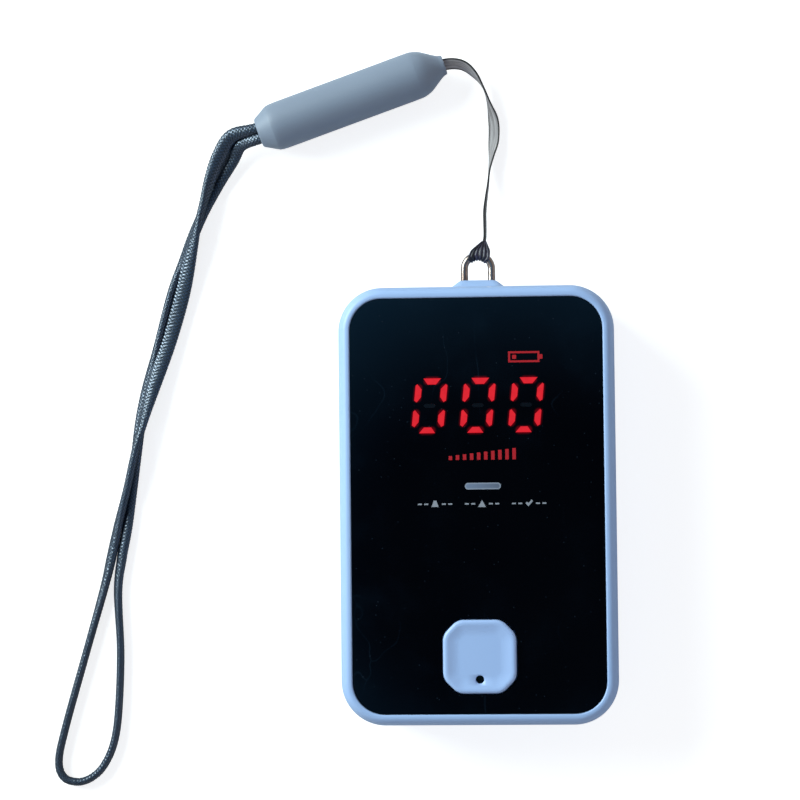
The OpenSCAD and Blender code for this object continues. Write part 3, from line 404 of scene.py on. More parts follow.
def case_rings(profile):
    """Ring = foot + (radius - inset) * outward + swelling, for each (inset, height, outer) row.

    The swelling is 1.6 mm high, fades over 6.1 mm to each side of the loop and over
    4.2 mm above and below the seam, and belongs to the outer rows at the top end.
    """
    feet, ways = case_outline()
    inset, height, outer = (profile[:, k, None] for k in range(3))
    x = feet[None, :, 0] + (corner_radius - inset) * ways[None, :, 0]
    y = feet[None, :, 1] + (corner_radius - inset) * ways[None, :, 1]
    sideways = ramp((boss_reach - np.abs(x - loop_middle[0])) / boss_slope)
    upwards = ramp((1 - np.abs(height - seam_height) / boss_spread) / 0.7)
    at_top = (ways[None, :, 1] > 0.9999) & (outer > 0)
    y = y + boss_height * sideways * upwards * at_top
    return np.stack([x, y, height + 0 * x], axis=-1)


# %% Front shell
side_foot = 9.35
side_top = 15
draft = 0.15
edge_width = 1.85
edge_height = 4


def front_profile():
    """Seam groove, drafted side, a quarter ellipse as the edge, lip, and the inside."""
    groove = np.array([[1.85, 9.05, 0], [0.38, 9.05, 1], [0.22, 9.08, 1], [0.07, 9.2, 1]])
    rise = np.linspace(side_foot, side_top, 20)
    side = np.stack([draft * (rise - side_foot) / (side_top - side_foot), rise, np.ones(20)], axis=1)
    a = np.radians(np.linspace(6, 90, 17))
    over = np.stack([draft + edge_width * (1 - np.cos(a)), side_top + edge_height * np.sin(a),
                     np.ones(17)], axis=1)
    lip = np.array([[2.3, 19, 0], [2.38, 18.98, 0], [2.56, 18.84, 0], [2.6, 18.75, 0], [2.6, 17.45, 0]])
    inside = np.array([[5.2, 17.45, 0], [5.2, 16.05, 0], [1.85, 16.05, 0]])
    return np.vstack([groove, side, over, lip, inside])


case_front = grid_mesh("case_front", case_rings(front_profile()), loop=True, sharp=40)

# %% [markdown]
# ## Smooth copies of measured pieces
# The back shell, the battery door, the cells, the springs and the screws already
# have the right shape, but their triangles are loose and shade flat. A copy with
# its corners merged can be smooth where it is round and sharp where it is not. A
# weighted normal keeps the large flat faces flat.

# %% Smooth copies
def smooth_copy(node, name, angle=32):
    """A copy of the measured mesh with its doubles merged and edges under the angle smoothed."""
    mesh = cad[node].data.copy()
    mesh.name = name
    work = bmesh.new()
    work.from_mesh(mesh)
    bmesh.ops.remove_doubles(work, verts=work.verts, dist=2e-6)
    work.to_mesh(mesh)
    work.free()
    mesh.shade_smooth()
    mesh.set_sharp_from_angle(angle=np.radians(angle))
    piece = bpy.data.objects.new(name, mesh)
    bpy.context.collection.objects.link(piece)
    normals = piece.modifiers.new("flat faces stay flat", "WEIGHTED_NORMAL")
    normals.keep_sharp = True
    print(name, "copied with", len(mesh.polygons), "faces")
    return piece


case_back = smooth_copy("rear_shell", "case_back")
door_cover = smooth_copy("battery_door", "door_cover")
cell_pair = smooth_copy("battery_cells", "cell_pair")
screw_set = smooth_copy("housing_screws", "screw_set")
spring_pair = smooth_copy("contact_springs", "spring_pair", 70)

# %% [markdown]
# ## The test button
# The button is a square with softened, cut corners. Its side rises straight,
# rolls over a soft edge, and the face sinks a little towards the middle, where the
# finger rests. The same outline makes the hidden flange and the hollow underside.

# %% Button
button_middle = np.array([0.1, -29.85])
button_top = 19.5
edge_radius = 0.62
rim_width = 0.9
dish_slope = 2.5
dish_depth = 0.45


def button_outline(grow, steps=10):
    """Octagon with half side 7.25 and corner cut 2.9, each corner an arc of radius 3.2."""
    h = 7.25 + grow
    c = 2.9 + 0.6 * grow
    soft = 3.2 + 0.6 * grow
    b = np.array([[h, h - c], [h - c, h], [c - h, h], [-h, h - c], [-h, c - h], [c - h, -h],
                  [h - c, -h], [h, c - h]])
    u = np.roll(b, 1, axis=0) - b
    v = np.roll(b, -1, axis=0) - b
    u /= np.linalg.norm(u, axis=1, keepdims=True)
    v /= np.linalg.norm(v, axis=1, keepdims=True)
    half = np.arccos(np.sum(u * v, axis=1, keepdims=True)) / 2
    middle = u + v
    middle = b + middle / np.linalg.norm(middle, axis=1, keepdims=True) * soft / np.sin(half)
    start = b + u * soft / np.tan(half) - middle
    end = b + v * soft / np.tan(half) - middle
    first = np.arctan2(start[:, 1], start[:, 0])
    sweep = (np.arctan2(end[:, 1], end[:, 0]) - first + np.pi) % (2 * np.pi) - np.pi
    a = first[:, None] + sweep[:, None] * np.linspace(0, 1, steps)[None, :]
    arcs = middle[:, None, :] + soft * np.stack([np.cos(a), np.sin(a)], axis=-1)
    return arcs.reshape(-1, 2)


def button_surface():
    """Stem, hollow, flange, side, soft edge and face, as rings from the inside out and over.

    Inside the rim the face drops by the dish's depth * sin(90 t) along its slope, and the
    last 0.15 mm of each bend is eased so that no ring shows as a line.
    """
    ring = button_outline(-3.4)
    way = ring / np.linalg.norm(ring, axis=1, keepdims=True)
    rings = [(1.5 * way, 15.65), (1.5 * way, 18.0), (button_outline(-1.7), 18.0),
             (button_outline(-1.7), 15.05), (button_outline(1.05), 15.05),
             (button_outline(1.05), 15.95), (button_outline(0), 15.95)]
    edge = np.radians(np.linspace(0, 90, 10))
    for a in edge:
        rings.append((button_outline(-edge_radius * (1 - np.cos(a))),
                      button_top - edge_radius + edge_radius * np.sin(a)))
    rings += [(button_outline(-0.8), button_top), (button_outline(-0.92), button_top - 0.015)]
    for t in np.linspace(0.06, 1, 12):
        rings.append((button_outline(-rim_width - dish_slope * t),
                      button_top - dish_depth * np.sin(np.pi / 2 * t)))
    rings += [(ring * share, button_top - dish_depth) for share in np.linspace(0.9, 0.05, 12)]
    return np.stack([np.column_stack([xy + button_middle, np.zeros(len(xy)) + z]) for xy, z in rings])


test_button = grid_mesh("test_button", button_surface(), sharp=30)

# %% [markdown]
# The button has a round pinhole near its lower edge, with a softened rim. A tube
# that widens at the face cuts it out with a Boolean modifier, the result becomes
# the button's own mesh, and the tube goes. The outline gives the tube's radius, in
# hole widths, and its height.

# %% Pinhole
pinhole_middle = button_middle - (0, 4.5)
pinhole_width = 1.65
pinhole_outline = [(0.5, 17.4), (0.5, 18.88), (0.54, 18.98), (0.68, 19.1), (0.95, 19.3)]
circle = oval(2 * pinhole_width, 2 * pinhole_width, 40)
rings = [np.column_stack([circle * r + pinhole_middle, np.full(40, z)]) for r, z in pinhole_outline]
drill = grid_mesh("drill", np.stack(rings))
cut = test_button.modifiers.new("hole", "BOOLEAN")
cut.operation = "DIFFERENCE"
cut.solver = "EXACT"
cut.object = drill
shaped = test_button.evaluated_get(bpy.context.evaluated_depsgraph_get())
drilled = bpy.data.meshes.new_from_object(shaped)
test_button.modifiers.clear()
test_button.data = drilled
drilled.set_sharp_from_angle(angle=np.radians(30))
bpy.data.objects.remove(drill)
print("the drilled button has", len(drilled.polygons), "faces")

# %% [markdown]
# ## What each piece rides on, and what it stands for
# Every new piece rides on one of the frame's bodies, so it moves as the real one does, and the measured
# solid that it stands for is hidden. The cord and the ribbon print how long they are where they are made.

# %% Places in the frame
new_pieces = [
    (case_front, "housing", "front_frame", "shell_plastic"),
    (case_back, "housing", "rear_shell", "shell_plastic"),
    (door_cover, "battery_door", "battery_door", "shell_plastic"),
    (test_button, "button", "button_cap", "button_plastic"),
    (cell_pair, "housing", "battery_cells", "cell_can"),
    (spring_pair, "housing", "contact_springs", "contact_nickel"),
    (screw_set, "housing", "housing_screws", "screw_steel"),
    (wire_loop, "housing", "wire_loop", "loop_steel"),
    (ribbon_hitch, "housing", "ribbon_hitch", "ribbon_satin"),
    (tether_ribbon, "housing", "tether_ribbon", "ribbon_satin"),
    (grip_sleeve, "housing", "grip_sleeve", "sleeve_rubber"),
    (wrist_cord, "housing", "wrist_cord", "cord_braid"),
]
for piece, body, stands_for, slot in new_pieces:
    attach(piece, body)
    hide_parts(stands_for)
print("new pieces:", len(new_pieces))

# %% [markdown]
# ## Building blocks for the finishes
# A finish is a small net of nodes. These helpers keep that net readable. sums,
# spread and tinted take outputs as if they were numbers and colours, each texture
# is one line, and feed joins the results to sockets by name. The fixed values of
# a material are set straight on its shader.

# %% Node helpers
def add(kind, joins=None, tree=None, **settings):
    """A node of that kind. joins gives an input either a plain value or another node's output.

    The node goes into the given tree, or into the one that the first joined output is in.
    """
    joins = joins or {}
    if tree is None:
        tree = next(v.id_data for v in joins.values() if isinstance(v, bpy.types.NodeSocket))
    made = tree.nodes.new("ShaderNode" + kind)
    for key, value in settings.items():
        setattr(made, key, value)
    for key, value in joins.items():
        if isinstance(value, bpy.types.NodeSocket):
            tree.links.new(value, made.inputs[key])
        else:
            made.inputs[key].default_value = value
    return made


def sums(operation, *values):
    """One Math node, and its output."""
    return add("Math", dict(enumerate(values)), operation=operation).outputs[0]


def times(a, b):
    """a * b"""
    return sums("MULTIPLY", a, b)


def minus(a, b):
    """a - b"""
    return sums("SUBTRACT", a, b)


def spread(value, low, high, to_low=0.0, to_high=1.0):
    """Map Range: the stretch from low to high becomes to_low to to_high, held at its ends."""
    joins = {"Value": value, "From Min": low, "From Max": high, "To Min": to_low, "To Max": to_high}
    return add("MapRange", joins).outputs["Result"]


def colour(red, green, blue):
    """A screen colour from 0 to 255 as the linear light that shaders use."""
    c = np.array([red, green, blue]) / 255
    light = np.where(c <= 0.04045, c / 12.92, ((c + 0.055) / 1.055) ** 2.4)
    return (*light.tolist(), 1.0)


def tinted(factor, *pair):
    """Mix of two colours by a factor: outputs, light of four numbers, or screen colours of three."""
    pair = [colour(*c) if isinstance(c, tuple) and len(c) == 3 else c for c in pair]
    return add("Mix", {0: factor, 6: pair[0], 7: pair[1]}, data_type="RGBA").outputs[2]


# %% Texture helpers
def axes(where):
    """X, Y and Z of a place."""
    return add("SeparateXYZ", {0: where}).outputs


def stretched(where, scale, turn=0.0):
    """A place scaled along its axes and then turned about Z, in radians."""
    return add("Mapping", {"Vector": where, "Rotation": (0.0, 0.0, turn), "Scale": scale}).outputs[0]


def noise(where, scale, detail, roughness=0.5):
    """Cloudy noise. Fac is one value, and Color is three of them."""
    joins = {"Vector": where, "Scale": scale, "Detail": detail, "Roughness": roughness}
    return add("TexNoise", joins).outputs


def cells(where, scale, feature="F1"):
    """Distance to the nearest of many scattered points, or to the border between two."""
    return add("TexVoronoi", {"Vector": where, "Scale": scale}, feature=feature).outputs["Distance"]


def raised(height, distance):
    """A Bump node: the height field, scaled to a real distance in metres, as a normal."""
    return add("Bump", {"Height": height, "Distance": distance, "Strength": 1.0}).outputs[0]


# %% Groups and materials
def new_group(name, inputs, outputs):
    """An empty shader group. Each input is a name and a value, or a name and None for a vector."""
    tree = bpy.data.node_groups.new(name, "ShaderNodeTree")
    for label, value in inputs.items():
        kind = "NodeSocketVector" if value is None else "NodeSocketFloat"
        socket = tree.interface.new_socket(label, in_out="INPUT", socket_type=kind)
        if value is not None:
            socket.default_value = value
    for label in outputs:
        tree.interface.new_socket(label, in_out="OUTPUT", socket_type="NodeSocketFloat")
    print("effect", name, "puts out", outputs)
    return tree, tree.nodes.new("NodeGroupInput").outputs, tree.nodes.new("NodeGroupOutput").inputs


def place(group, where, **values):
    """A group's outputs in the tree of where, its first input. _ in a name stands for a space."""
    joins = {key.replace("_", " "): value for key, value in values.items()}
    return add("Group", {0: where, **joins}, node_tree=group).outputs


def new_material(name, coordinates="Object", **fixed):
    """A material, its shader's inputs with the fixed values set on them, and its coordinates."""
    made = bpy.data.materials.new(name)
    made.use_nodes = True
    shader = made.node_tree.nodes["Principled BSDF"]
    for key, value in fixed.items():
        shader.inputs[key.replace("_", " ")].default_value = value
    print("finish", name)
    return made, shader.inputs, add("TexCoord", tree=made.node_tree).outputs[coordinates]


def feed(sockets, **outputs):
    """Joins each output to the socket of its name, _ standing for a space."""
    for key, output in outputs.items():
        output.id_data.links.new(output, sockets[key.replace("_", " ")])


def dress(piece, finish):
    """Puts one finish on a piece, in the slot that it has or in a new one."""
    if not piece.material_slots:
        piece.data.materials.append(None)
    for slot in piece.material_slots:
        slot.material = finish


# %% [markdown]
# ## Shared surface effects
# Three effects come back on several pieces. Moulded plastic has a fine spark-eroded
# grain and a few soft smudges where hands touch it. Gloss surfaces carry dust and
# hairline scratches. Metal is streaked by drawing or turning. Each effect is built
# once as a group that reads a position and puts out plain values.

# %% Moulded grain
grain, grain_in, grain_out = new_group("moulded grain", {"Position": None, "Grains per metre": 3200.0},
                             ["Height", "Smudge", "Tone"])
feed(grain_out,
     Height=noise(grain_in[0], grain_in[1], 3.0, 0.6)["Fac"],
     Smudge=spread(noise(grain_in[0], 90.0, 4.0, 0.55)["Fac"], 0.48, 0.72),
     Tone=spread(noise(grain_in[0], 24.0, 2.0)["Fac"], 0.3, 0.7))

# %% Dust and hairlines
wear, wear_in, wear_out = new_group("dust and hairlines", {"Position": None, "Marks per metre": 260.0},
                            ["Dust", "Hairline"])
specks = cells(wear_in[0], times(wear_in[1], 5.0))
wander = noise(wear_in[0], 60.0, 2.0)
wander_reach = (0.0015,) * 3
slanted = stretched(wear_in[0], (1.0, 0.06, 1.0), 0.7)
bent = add("VectorMath", {0: slanted, 1: wander["Color"], 2: wander_reach}, operation="MULTIPLY_ADD")
hair = spread(cells(bent.outputs[0], wear_in[1], "DISTANCE_TO_EDGE"), 0.0, 0.012, 1.0, 0.0)
feed(wear_out,
     Dust=spread(specks, 0.02, 0.09, 1.0, 0.0),
     Hairline=times(hair, spread(wander["Fac"], 0.5, 0.62)))

# %% Drawn metal
drawn, drawn_in, drawn_out = new_group("drawn metal", {"Position": None, "Streaks per metre": 2500.0},
                             ["Height", "Tone"])
feed(drawn_out,
     Height=noise(stretched(drawn_in[0], (0.04, 1.0, 1.0)), drawn_in[1], 2.0)["Fac"],
     Tone=spread(noise(drawn_in[0], 400.0, 3.0)["Fac"], 0.35, 0.7))

# %% [markdown]
# ## Braid and satin
# The cord's cover is a braid: two families of yarns cross at 45 degrees, and each
# passes over and under the other. Along and round the cord the pattern is two
# slanting waves, and a checkerboard says which wave is on top. The numbers of
# yarns round the cord are whole, so the pattern meets itself at the seam.

# %% Braid
braid, braid_in, braid_out = new_group("braid", {"Along": None, "Yarns round": 8.0, "Yarns per width": 3.0},
                              ["Height", "Gap", "Shade"])
along, around, _ = axes(braid_in[0])
slant = times(along, braid_in[2])
round_it = times(around, braid_in[1])
one = sums("ADD", slant, round_it)
two = minus(slant, round_it)
over_under = sums("ADD", sums("FLOOR", one), sums("FLOOR", two))
over_under = sums("GREATER_THAN", sums("FLOORED_MODULO", over_under, 2.0), 0.5)
wave_one, wave_two = (sums("ABSOLUTE", sums("SINE", times(run, np.pi))) for run in (one, two))
crown = add("Mix", {0: over_under, 2: wave_one, 3: wave_two}).outputs[0]
feed(braid_out,
     Height=crown,
     Gap=spread(crown, 0.62, 0.15),
     Shade=spread(noise(braid_in[0], 9.0, 3.0)["Fac"], 0.35, 0.65))

# %% Satin
satin, satin_in, satin_out = new_group("satin", {"Along": None, "Threads per width": 14.0},
                              ["Height", "Streak", "Selvedge"])
along, around, _ = axes(satin_in[0])
weft = sums("SINE", times(along, times(satin_in[1], 2 * np.pi)))
warp = sums("SINE", times(around, times(satin_in[1], 4 * np.pi)))
streaks = noise(stretched(satin_in[0], (0.35, 26.0, 1.0)), 1.0, 3.0)
sideways = sums("ABSOLUTE", sums("COSINE", times(around, 2 * np.pi)))
feed(satin_out,
     Height=sums("MULTIPLY_ADD", weft, 0.25, sums("MULTIPLY_ADD", warp, 0.25, 0.5)),
     Streak=spread(streaks["Fac"], 0.3, 0.7),
     Selvedge=spread(sideways, 0.56, 0.78))

# %% [markdown]
# ## The case
# The case is pale blue plastic, matt but not dull. The grain is too fine to see
# one by one and only breaks up the highlight. Hands leave slightly glossier
# patches, and hairline scratches are a little duller.

# %% Case plastic
def moulded_plastic(name, tint, shade, roughness, grain_depth, **fixed):
    """Plastic with spark grain, smudges that gloss it, and a slow change of tint."""
    made, shader, where = new_material(name, **fixed)
    effect = place(grain, where)
    marks = place(wear, where, Marks_per_metre=170.0)
    rough = spread(effect["Smudge"], 0.0, 1.0, roughness, roughness - 0.09)
    feed(shader,
         Base_Color=tinted(effect["Tone"], tint, shade),
         Roughness=sums("MULTIPLY_ADD", marks["Hairline"], 0.06, rough),
         Normal=raised(effect["Height"], grain_depth))
    return made


case_plastic = moulded_plastic("case_plastic", (166, 196, 239), (162, 191, 235), 0.4, 0.00002)
button_plastic = moulded_plastic("button_plastic", (172, 201, 246), (168, 196, 242), 0.34, 0.000012)
black_plastic = moulded_plastic("black_plastic", (26, 27, 30), (20, 21, 24), 0.5, 0.00004)
pale_plastic = moulded_plastic("display_plastic", (196, 198, 200), (184, 187, 190), 0.5, 0.00002)

# %% [markdown]
# ## The black panel
# The panel is a printed window: clear plastic over black ink, so it is almost black with a sharp gloss.
# Dust and faint hairlines only show where light catches them, so they change the roughness and barely the
# colour. Close to a lit bar the ink gets a painted red glow: an emission that stands in for the bars' light
# spreading into the panel.

# %% Digit glow
digits_middle = (0.3, 19.75)
digit_pitch = 9.55
digit_lean = np.radians(6)
bar_half_width = 0.55
glow, glow_in, glow_out = new_group("digit glow", {"Position": None, "Width in mm": 0.5}, ["Glow"])


def bar_distance(along, half_length, beside, line):
    """sqrt(past ** 2 + (beside - line) ** 2), with past = along - half_length, or 0 on the bar."""
    past = sums("MAXIMUM", minus(along, half_length), 0.0)
    off = minus(beside, line)
    return sums("SQRT", sums("MULTIPLY_ADD", past, past, times(off, off)))


place_in = axes(add("VectorMath", {0: glow_in[0], 3: 1000.0}, operation="SCALE").outputs[0])
y = minus(place_in["Y"], digits_middle[1])
x = sums("MULTIPLY_ADD", y, -np.tan(digit_lean), minus(place_in["X"], digits_middle[0]))
nearest = sums("ROUND", sums("DIVIDE", x, digit_pitch))
nearest = sums("MAXIMUM", sums("MINIMUM", nearest, 1.0), -1.0)
x = sums("ABSOLUTE", sums("MULTIPLY_ADD", nearest, -digit_pitch, x))
y = sums("ABSOLUTE", y)
upright = bar_distance(sums("ABSOLUTE", minus(y, 2.5)), 1.0, x, 2.6)
level = bar_distance(x, 0.85, y, 4.95)
falloff = spread(minus(sums("MINIMUM", upright, level), bar_half_width), 0.0, glow_in[1], 1.0, 0.0)
feed(glow_out, Glow=times(falloff, falloff))

# %% Panel
panel_gloss, shader, where = new_material("panel_gloss", IOR=1.49, Emission_Strength=1.0)
marks = place(wear, where, Marks_per_metre=120.0)
cloud = place(grain, where)
painted_bar_glow = place(glow, where)
ink = tinted(cloud["Tone"], (2, 3, 7), (4, 6, 11))
rough = sums("MULTIPLY_ADD", cloud["Smudge"], 0.05, 0.06)
rough = sums("MULTIPLY_ADD", marks["Hairline"], 0.12, rough)
feed(shader,
     Base_Color=tinted(times(marks["Dust"], 0.03), ink, (110, 120, 135)),
     # Painted glow: red emission on the ink close to the lit bars.
     Emission_Color=tinted(painted_bar_glow["Glow"], (0, 0, 0), (92, 0, 8)),
     Roughness=sums("MULTIPLY_ADD", marks["Dust"], 0.3, rough))

# %% [markdown]
# ## Lights behind the panel
# The red digits are bar-shaped light guides with a lamp under each. The light of a bar changes a little at
# random over it, as its resin does. The bars that are off stay nearly as black as the panel. The
# round-ended guide under the digits is a diffuser that is not lit and looks grey-blue, paler at its left
# end and rim.

# %% Lit bars
def share_of(tone, share):
    """A share of a colour's light."""
    return (*(share * c for c in tone[:3]), 1.0)


lit_red, shader, where = new_material("lit_red", Emission_Strength=1.0)
red = colour(222, 18, 33)
resin = noise(where, 900.0, 2.0)["Fac"]
deep = spread(resin, 0.3, 0.7)
feed(shader,
     Base_Color=tinted(deep, share_of(red, 0.06), share_of(red, 0.03)),
     Emission_Color=tinted(deep, share_of(red, 0.86), red),
     Roughness=spread(resin, 0.3, 0.7, 0.35, 0.45))

# %% Printed marks and unlit bars
def printed_ink(name, tone, second, roughness):
    """Screen-printed ink: nearly even, with the fine mottle of the print and a slight relief."""
    made, shader, where = new_material(name)
    mottle = place(grain, where, Grains_per_metre=5200.0)
    feed(shader,
         Base_Color=tinted(mottle["Height"], tone, second),
         Roughness=spread(mottle["Smudge"], 0.0, 1.0, roughness, roughness - 0.1),
         Normal=raised(mottle["Height"], 0.000006))
    return made


unlit_bar = printed_ink("unlit_bar", (11, 9, 10), (9, 7, 8), 0.15)
mark_red = printed_ink("mark_red", (190, 22, 30), (170, 18, 26), 0.4)
mark_grey = printed_ink("mark_grey", (156, 162, 172), (134, 140, 150), 0.45)

# %% Lamp diffuser
# Its pale rim follows the distance to the diffuser's middle line, from x = -1.8 to 4.0 mm at
# y = 3.75 mm, so the rim goes round both ends. The values here are in metres.
lamp_lens, shader, where = new_material("lamp_lens", IOR=1.49)
x, y, _ = axes(where)
frost = place(grain, where, Grains_per_metre=4200.0)
off = bar_distance(sums("ABSOLUTE", minus(x, 0.0011)), 0.0029, y, 0.00375)
body = tinted(spread(x, -0.0024, 0.0046), (114, 130, 156), (92, 102, 120))
body = tinted(spread(off, 0.00034, 0.00056), body, (146, 156, 172))
feed(shader,
     Base_Color=tinted(spread(frost["Height"], 0.4, 0.9, 0.0, 0.25), body, (140, 152, 170)),
     Roughness=spread(frost["Smudge"], 0.0, 1.0, 0.35, 0.25),
     Normal=raised(frost["Height"], 0.00001))

# %% [markdown]
# ## Metals
# The loop, springs, screws and cans are metal. What makes metal look real is what
# it mirrors and how its roughness changes: drawn wire has long fine streaks, and
# nickel and tin plating are slightly cloudy.

# %% Metals
def plated_metal(name, bright, dull, roughness, more, depth=0.000004, streaks=2500.0):
    """Metal whose tint and roughness follow its stains, with streaks along it as bump."""
    made, shader, where = new_material(name, Metallic=1.0)
    effect = place(drawn, where, Streaks_per_metre=streaks)
    feed(shader,
         Base_Color=tinted(effect["Tone"], bright, dull),
         Roughness=spread(effect["Tone"], 0.0, 1.0, roughness, roughness + more),
         Normal=raised(effect["Height"], depth))
    return made


loop_steel = plated_metal("loop_steel", (176, 162, 154), (136, 118, 110), 0.2, 0.12)
contact_nickel = plated_metal("contact_nickel", (205, 200, 188), (176, 170, 158), 0.24, 0.14)
screw_steel = plated_metal("screw_steel", (150, 152, 156), (116, 118, 122), 0.3, 0.15)
sensor_metal = plated_metal("sensor_metal", (196, 190, 176), (168, 160, 146), 0.28, 0.16, 0.000008, 1600.0)
anchor_metal = plated_metal("anchor_metal", (186, 188, 192), (150, 152, 156), 0.3, 0.12)

# %% [markdown]
# ## Lanyard finishes
# The ribbon is a narrow satin tape of nearly black thread whose face carries a painted grey sheen, the cord
# a tight black braid that shines blue in the light of the sky and by a painted blue highlight on its yarn
# crowns, and the sleeve a matt blue-grey rubber with a soft bloom on it. The painted sheen is left off the
# ribbon up to 6 widths from its knot, where it is gathered and stands on edge, and at its edges. The knot
# shows the tape's folded edges, so it is darker still.

# %% Ribbon and knot
ribbon_satin, shader, where = new_material("ribbon_satin", "UV", Specular_IOR_Level=0.4)
weave = place(satin, where)
thread_edge = (7, 6, 8)
# The face's grey is a painted sheen over the tape's nearly black thread, thread_edge.
face_with_painted_sheen = tinted(weave["Streak"], (126, 120, 121), (196, 190, 191))
face_with_painted_sheen = tinted(spread(weave["Height"], 0.1, 0.5, 0.5, 0.0), face_with_painted_sheen, thread_edge)
# Painted sheen is left off up to 6 widths from the knot, where the tape stands on edge.
no_sheen_near_knot = spread(axes(where)["X"], 3.5, 6.0, 0.85, 0.0)
feed(shader,
     Base_Color=tinted(sums("MAXIMUM", weave["Selvedge"], no_sheen_near_knot), face_with_painted_sheen, thread_edge),
     Roughness=spread(weave["Streak"], 0.0, 1.0, 0.46, 0.34),
     Normal=raised(weave["Height"], 0.00003))

knot_satin, shader, where = new_material("knot_satin", Sheen_Weight=0.2, Sheen_Roughness=0.35,
                                          Sheen_Tint=colour(190, 180, 235))
folds = noise(stretched(where, (1.0, 0.12, 0.6), 0.15), 2600.0, 2.0)
fold = spread(folds["Fac"], 0.42, 0.62)
feed(shader,
     Base_Color=tinted(fold, (18, 20, 26), (58, 54, 74)),
     Roughness=spread(fold, 0.0, 1.0, 0.48, 0.3),
     Normal=raised(fold, 0.00005))

# %% Cord braid
cord_braid, shader, where = new_material(
    "cord_braid", "UV", Specular_IOR_Level=1.0, Specular_Tint=colour(205, 228, 255),
    Coat_Roughness=0.28, Coat_IOR=1.7, Coat_Tint=colour(225, 238, 255))
plait = place(braid, where)
thread = tinted(plait["Shade"], (7, 11, 14), (12, 18, 22))
# Painted highlight: the yarn crowns are lighter and bluer in the base colour.
thread = tinted(spread(plait["Height"], 0.8, 1.0), thread, (30, 50, 74))
feed(shader,
     Base_Color=tinted(plait["Gap"], thread, (6, 9, 12)),
     Roughness=spread(plait["Height"], 0.35, 0.95, 0.85, 0.27),
     Coat_Weight=spread(plait["Height"], 0.72, 0.96, 0.0, 0.85),
     Normal=raised(plait["Shade"], 0.00004))

# %% Sleeve rubber
sleeve_rubber = moulded_plastic("sleeve_rubber", (130, 142, 160), (123, 134, 151), 0.5, 0.00003,
                                Sheen_Weight=0.35, Sheen_Roughness=0.4, Sheen_Tint=colour(225, 238, 255))

# %% [markdown]
# ## Parts inside
# Inside the case the board is green solder mask over copper tracks, the chips are
# black epoxy, the gaskets are foam and the dust filter is felt. These pieces show
# when the battery door is off or the case is taken apart.

# %% Circuit board
board_green, shader, where = new_material("board_green", Coat_Weight=0.3, Coat_Roughness=0.15)
bricks = {"Vector": where, "Scale": 260.0, "Mortar Size": 0.05, "Bias": 0.0,
          "Brick Width": 0.9, "Row Height": 0.32}
copper = add("TexBrick", bricks, offset=0.37, squash=1.0).outputs["Fac"]
pad = spread(cells(where, 420.0), 0.16, 0.2, 1.0, 0.0)
mask = tinted(copper, (18, 70, 44), (34, 104, 62))
feed(shader,
     Base_Color=tinted(pad, mask, (186, 170, 120)),
     Roughness=spread(pad, 0.0, 1.0, 0.35, 0.25),
     Normal=raised(sums("MAXIMUM", copper, pad), 0.00004))

# %% Foam, felt and chips
def porous(name, tone, hole, pores, depth, roughness):
    """Open material: a cell pattern whose cell middles are dark holes."""
    made, shader, where = new_material(name)
    wall = spread(cells(where, pores), 0.15, 0.6)
    feed(shader,
         Base_Color=tinted(wall, hole, tone),
         Roughness=spread(wall, 0.0, 1.0, 1.0, roughness),
         Normal=raised(wall, depth))
    return made


foam_black = porous("foam_black", (48, 48, 52), (12, 12, 14), 2600.0, 0.0002, 0.85)
filter_white = porous("filter_white", (222, 222, 216), (150, 150, 146), 3600.0, 0.00015, 0.9)
tape_adhesive = porous("tape_adhesive", (42, 44, 48), (24, 26, 28), 1800.0, 0.00006, 0.6)
chip_black = moulded_plastic("chip_black", (34, 35, 38), (26, 27, 30), 0.45, 0.00003)
lamp_chip = moulded_plastic("lamp_chip", (232, 224, 176), (214, 204, 150), 0.3, 0.00001)

# %% [markdown]
# ## The cells
# A cell is a steel can in a printed plastic sleeve. The sleeve here has no
# lettering: a dark body, a copper-coloured band near the positive end, and bare
# metal where the can shows. The bands are set by the distance along the cell, and
# the upper cell points the other way.

# %% Cell wrapper
cell_wrap, shader, where = new_material("cell_wrap", Coat_Weight=0.4, Coat_Roughness=0.12)
between_cells = -0.030
band_start = 0.0105
sleeve_end = 0.0205
x, y, _ = axes(where)
way = sums("MULTIPLY_ADD", sums("GREATER_THAN", y, between_cells), -2.0, 1.0)
along_cell = times(x, way)
bare = sums("GREATER_THAN", sums("ABSOLUTE", along_cell), sleeve_end)
scuff = place(wear, where, Marks_per_metre=300.0)
sleeve_tone = tinted(sums("GREATER_THAN", along_cell, band_start), (30, 33, 38), (176, 108, 62))
sleeve_tone = tinted(times(scuff["Hairline"], 0.5), sleeve_tone, (150, 150, 150))
feed(shader,
     Base_Color=tinted(bare, sleeve_tone, (196, 196, 192)),
     Metallic=bare,
     Roughness=spread(scuff["Dust"], 0.0, 1.0, 0.28, 0.5))

# %% [markdown]
# ## Every piece gets its finish
# New pieces and measured pieces are dressed from one table.

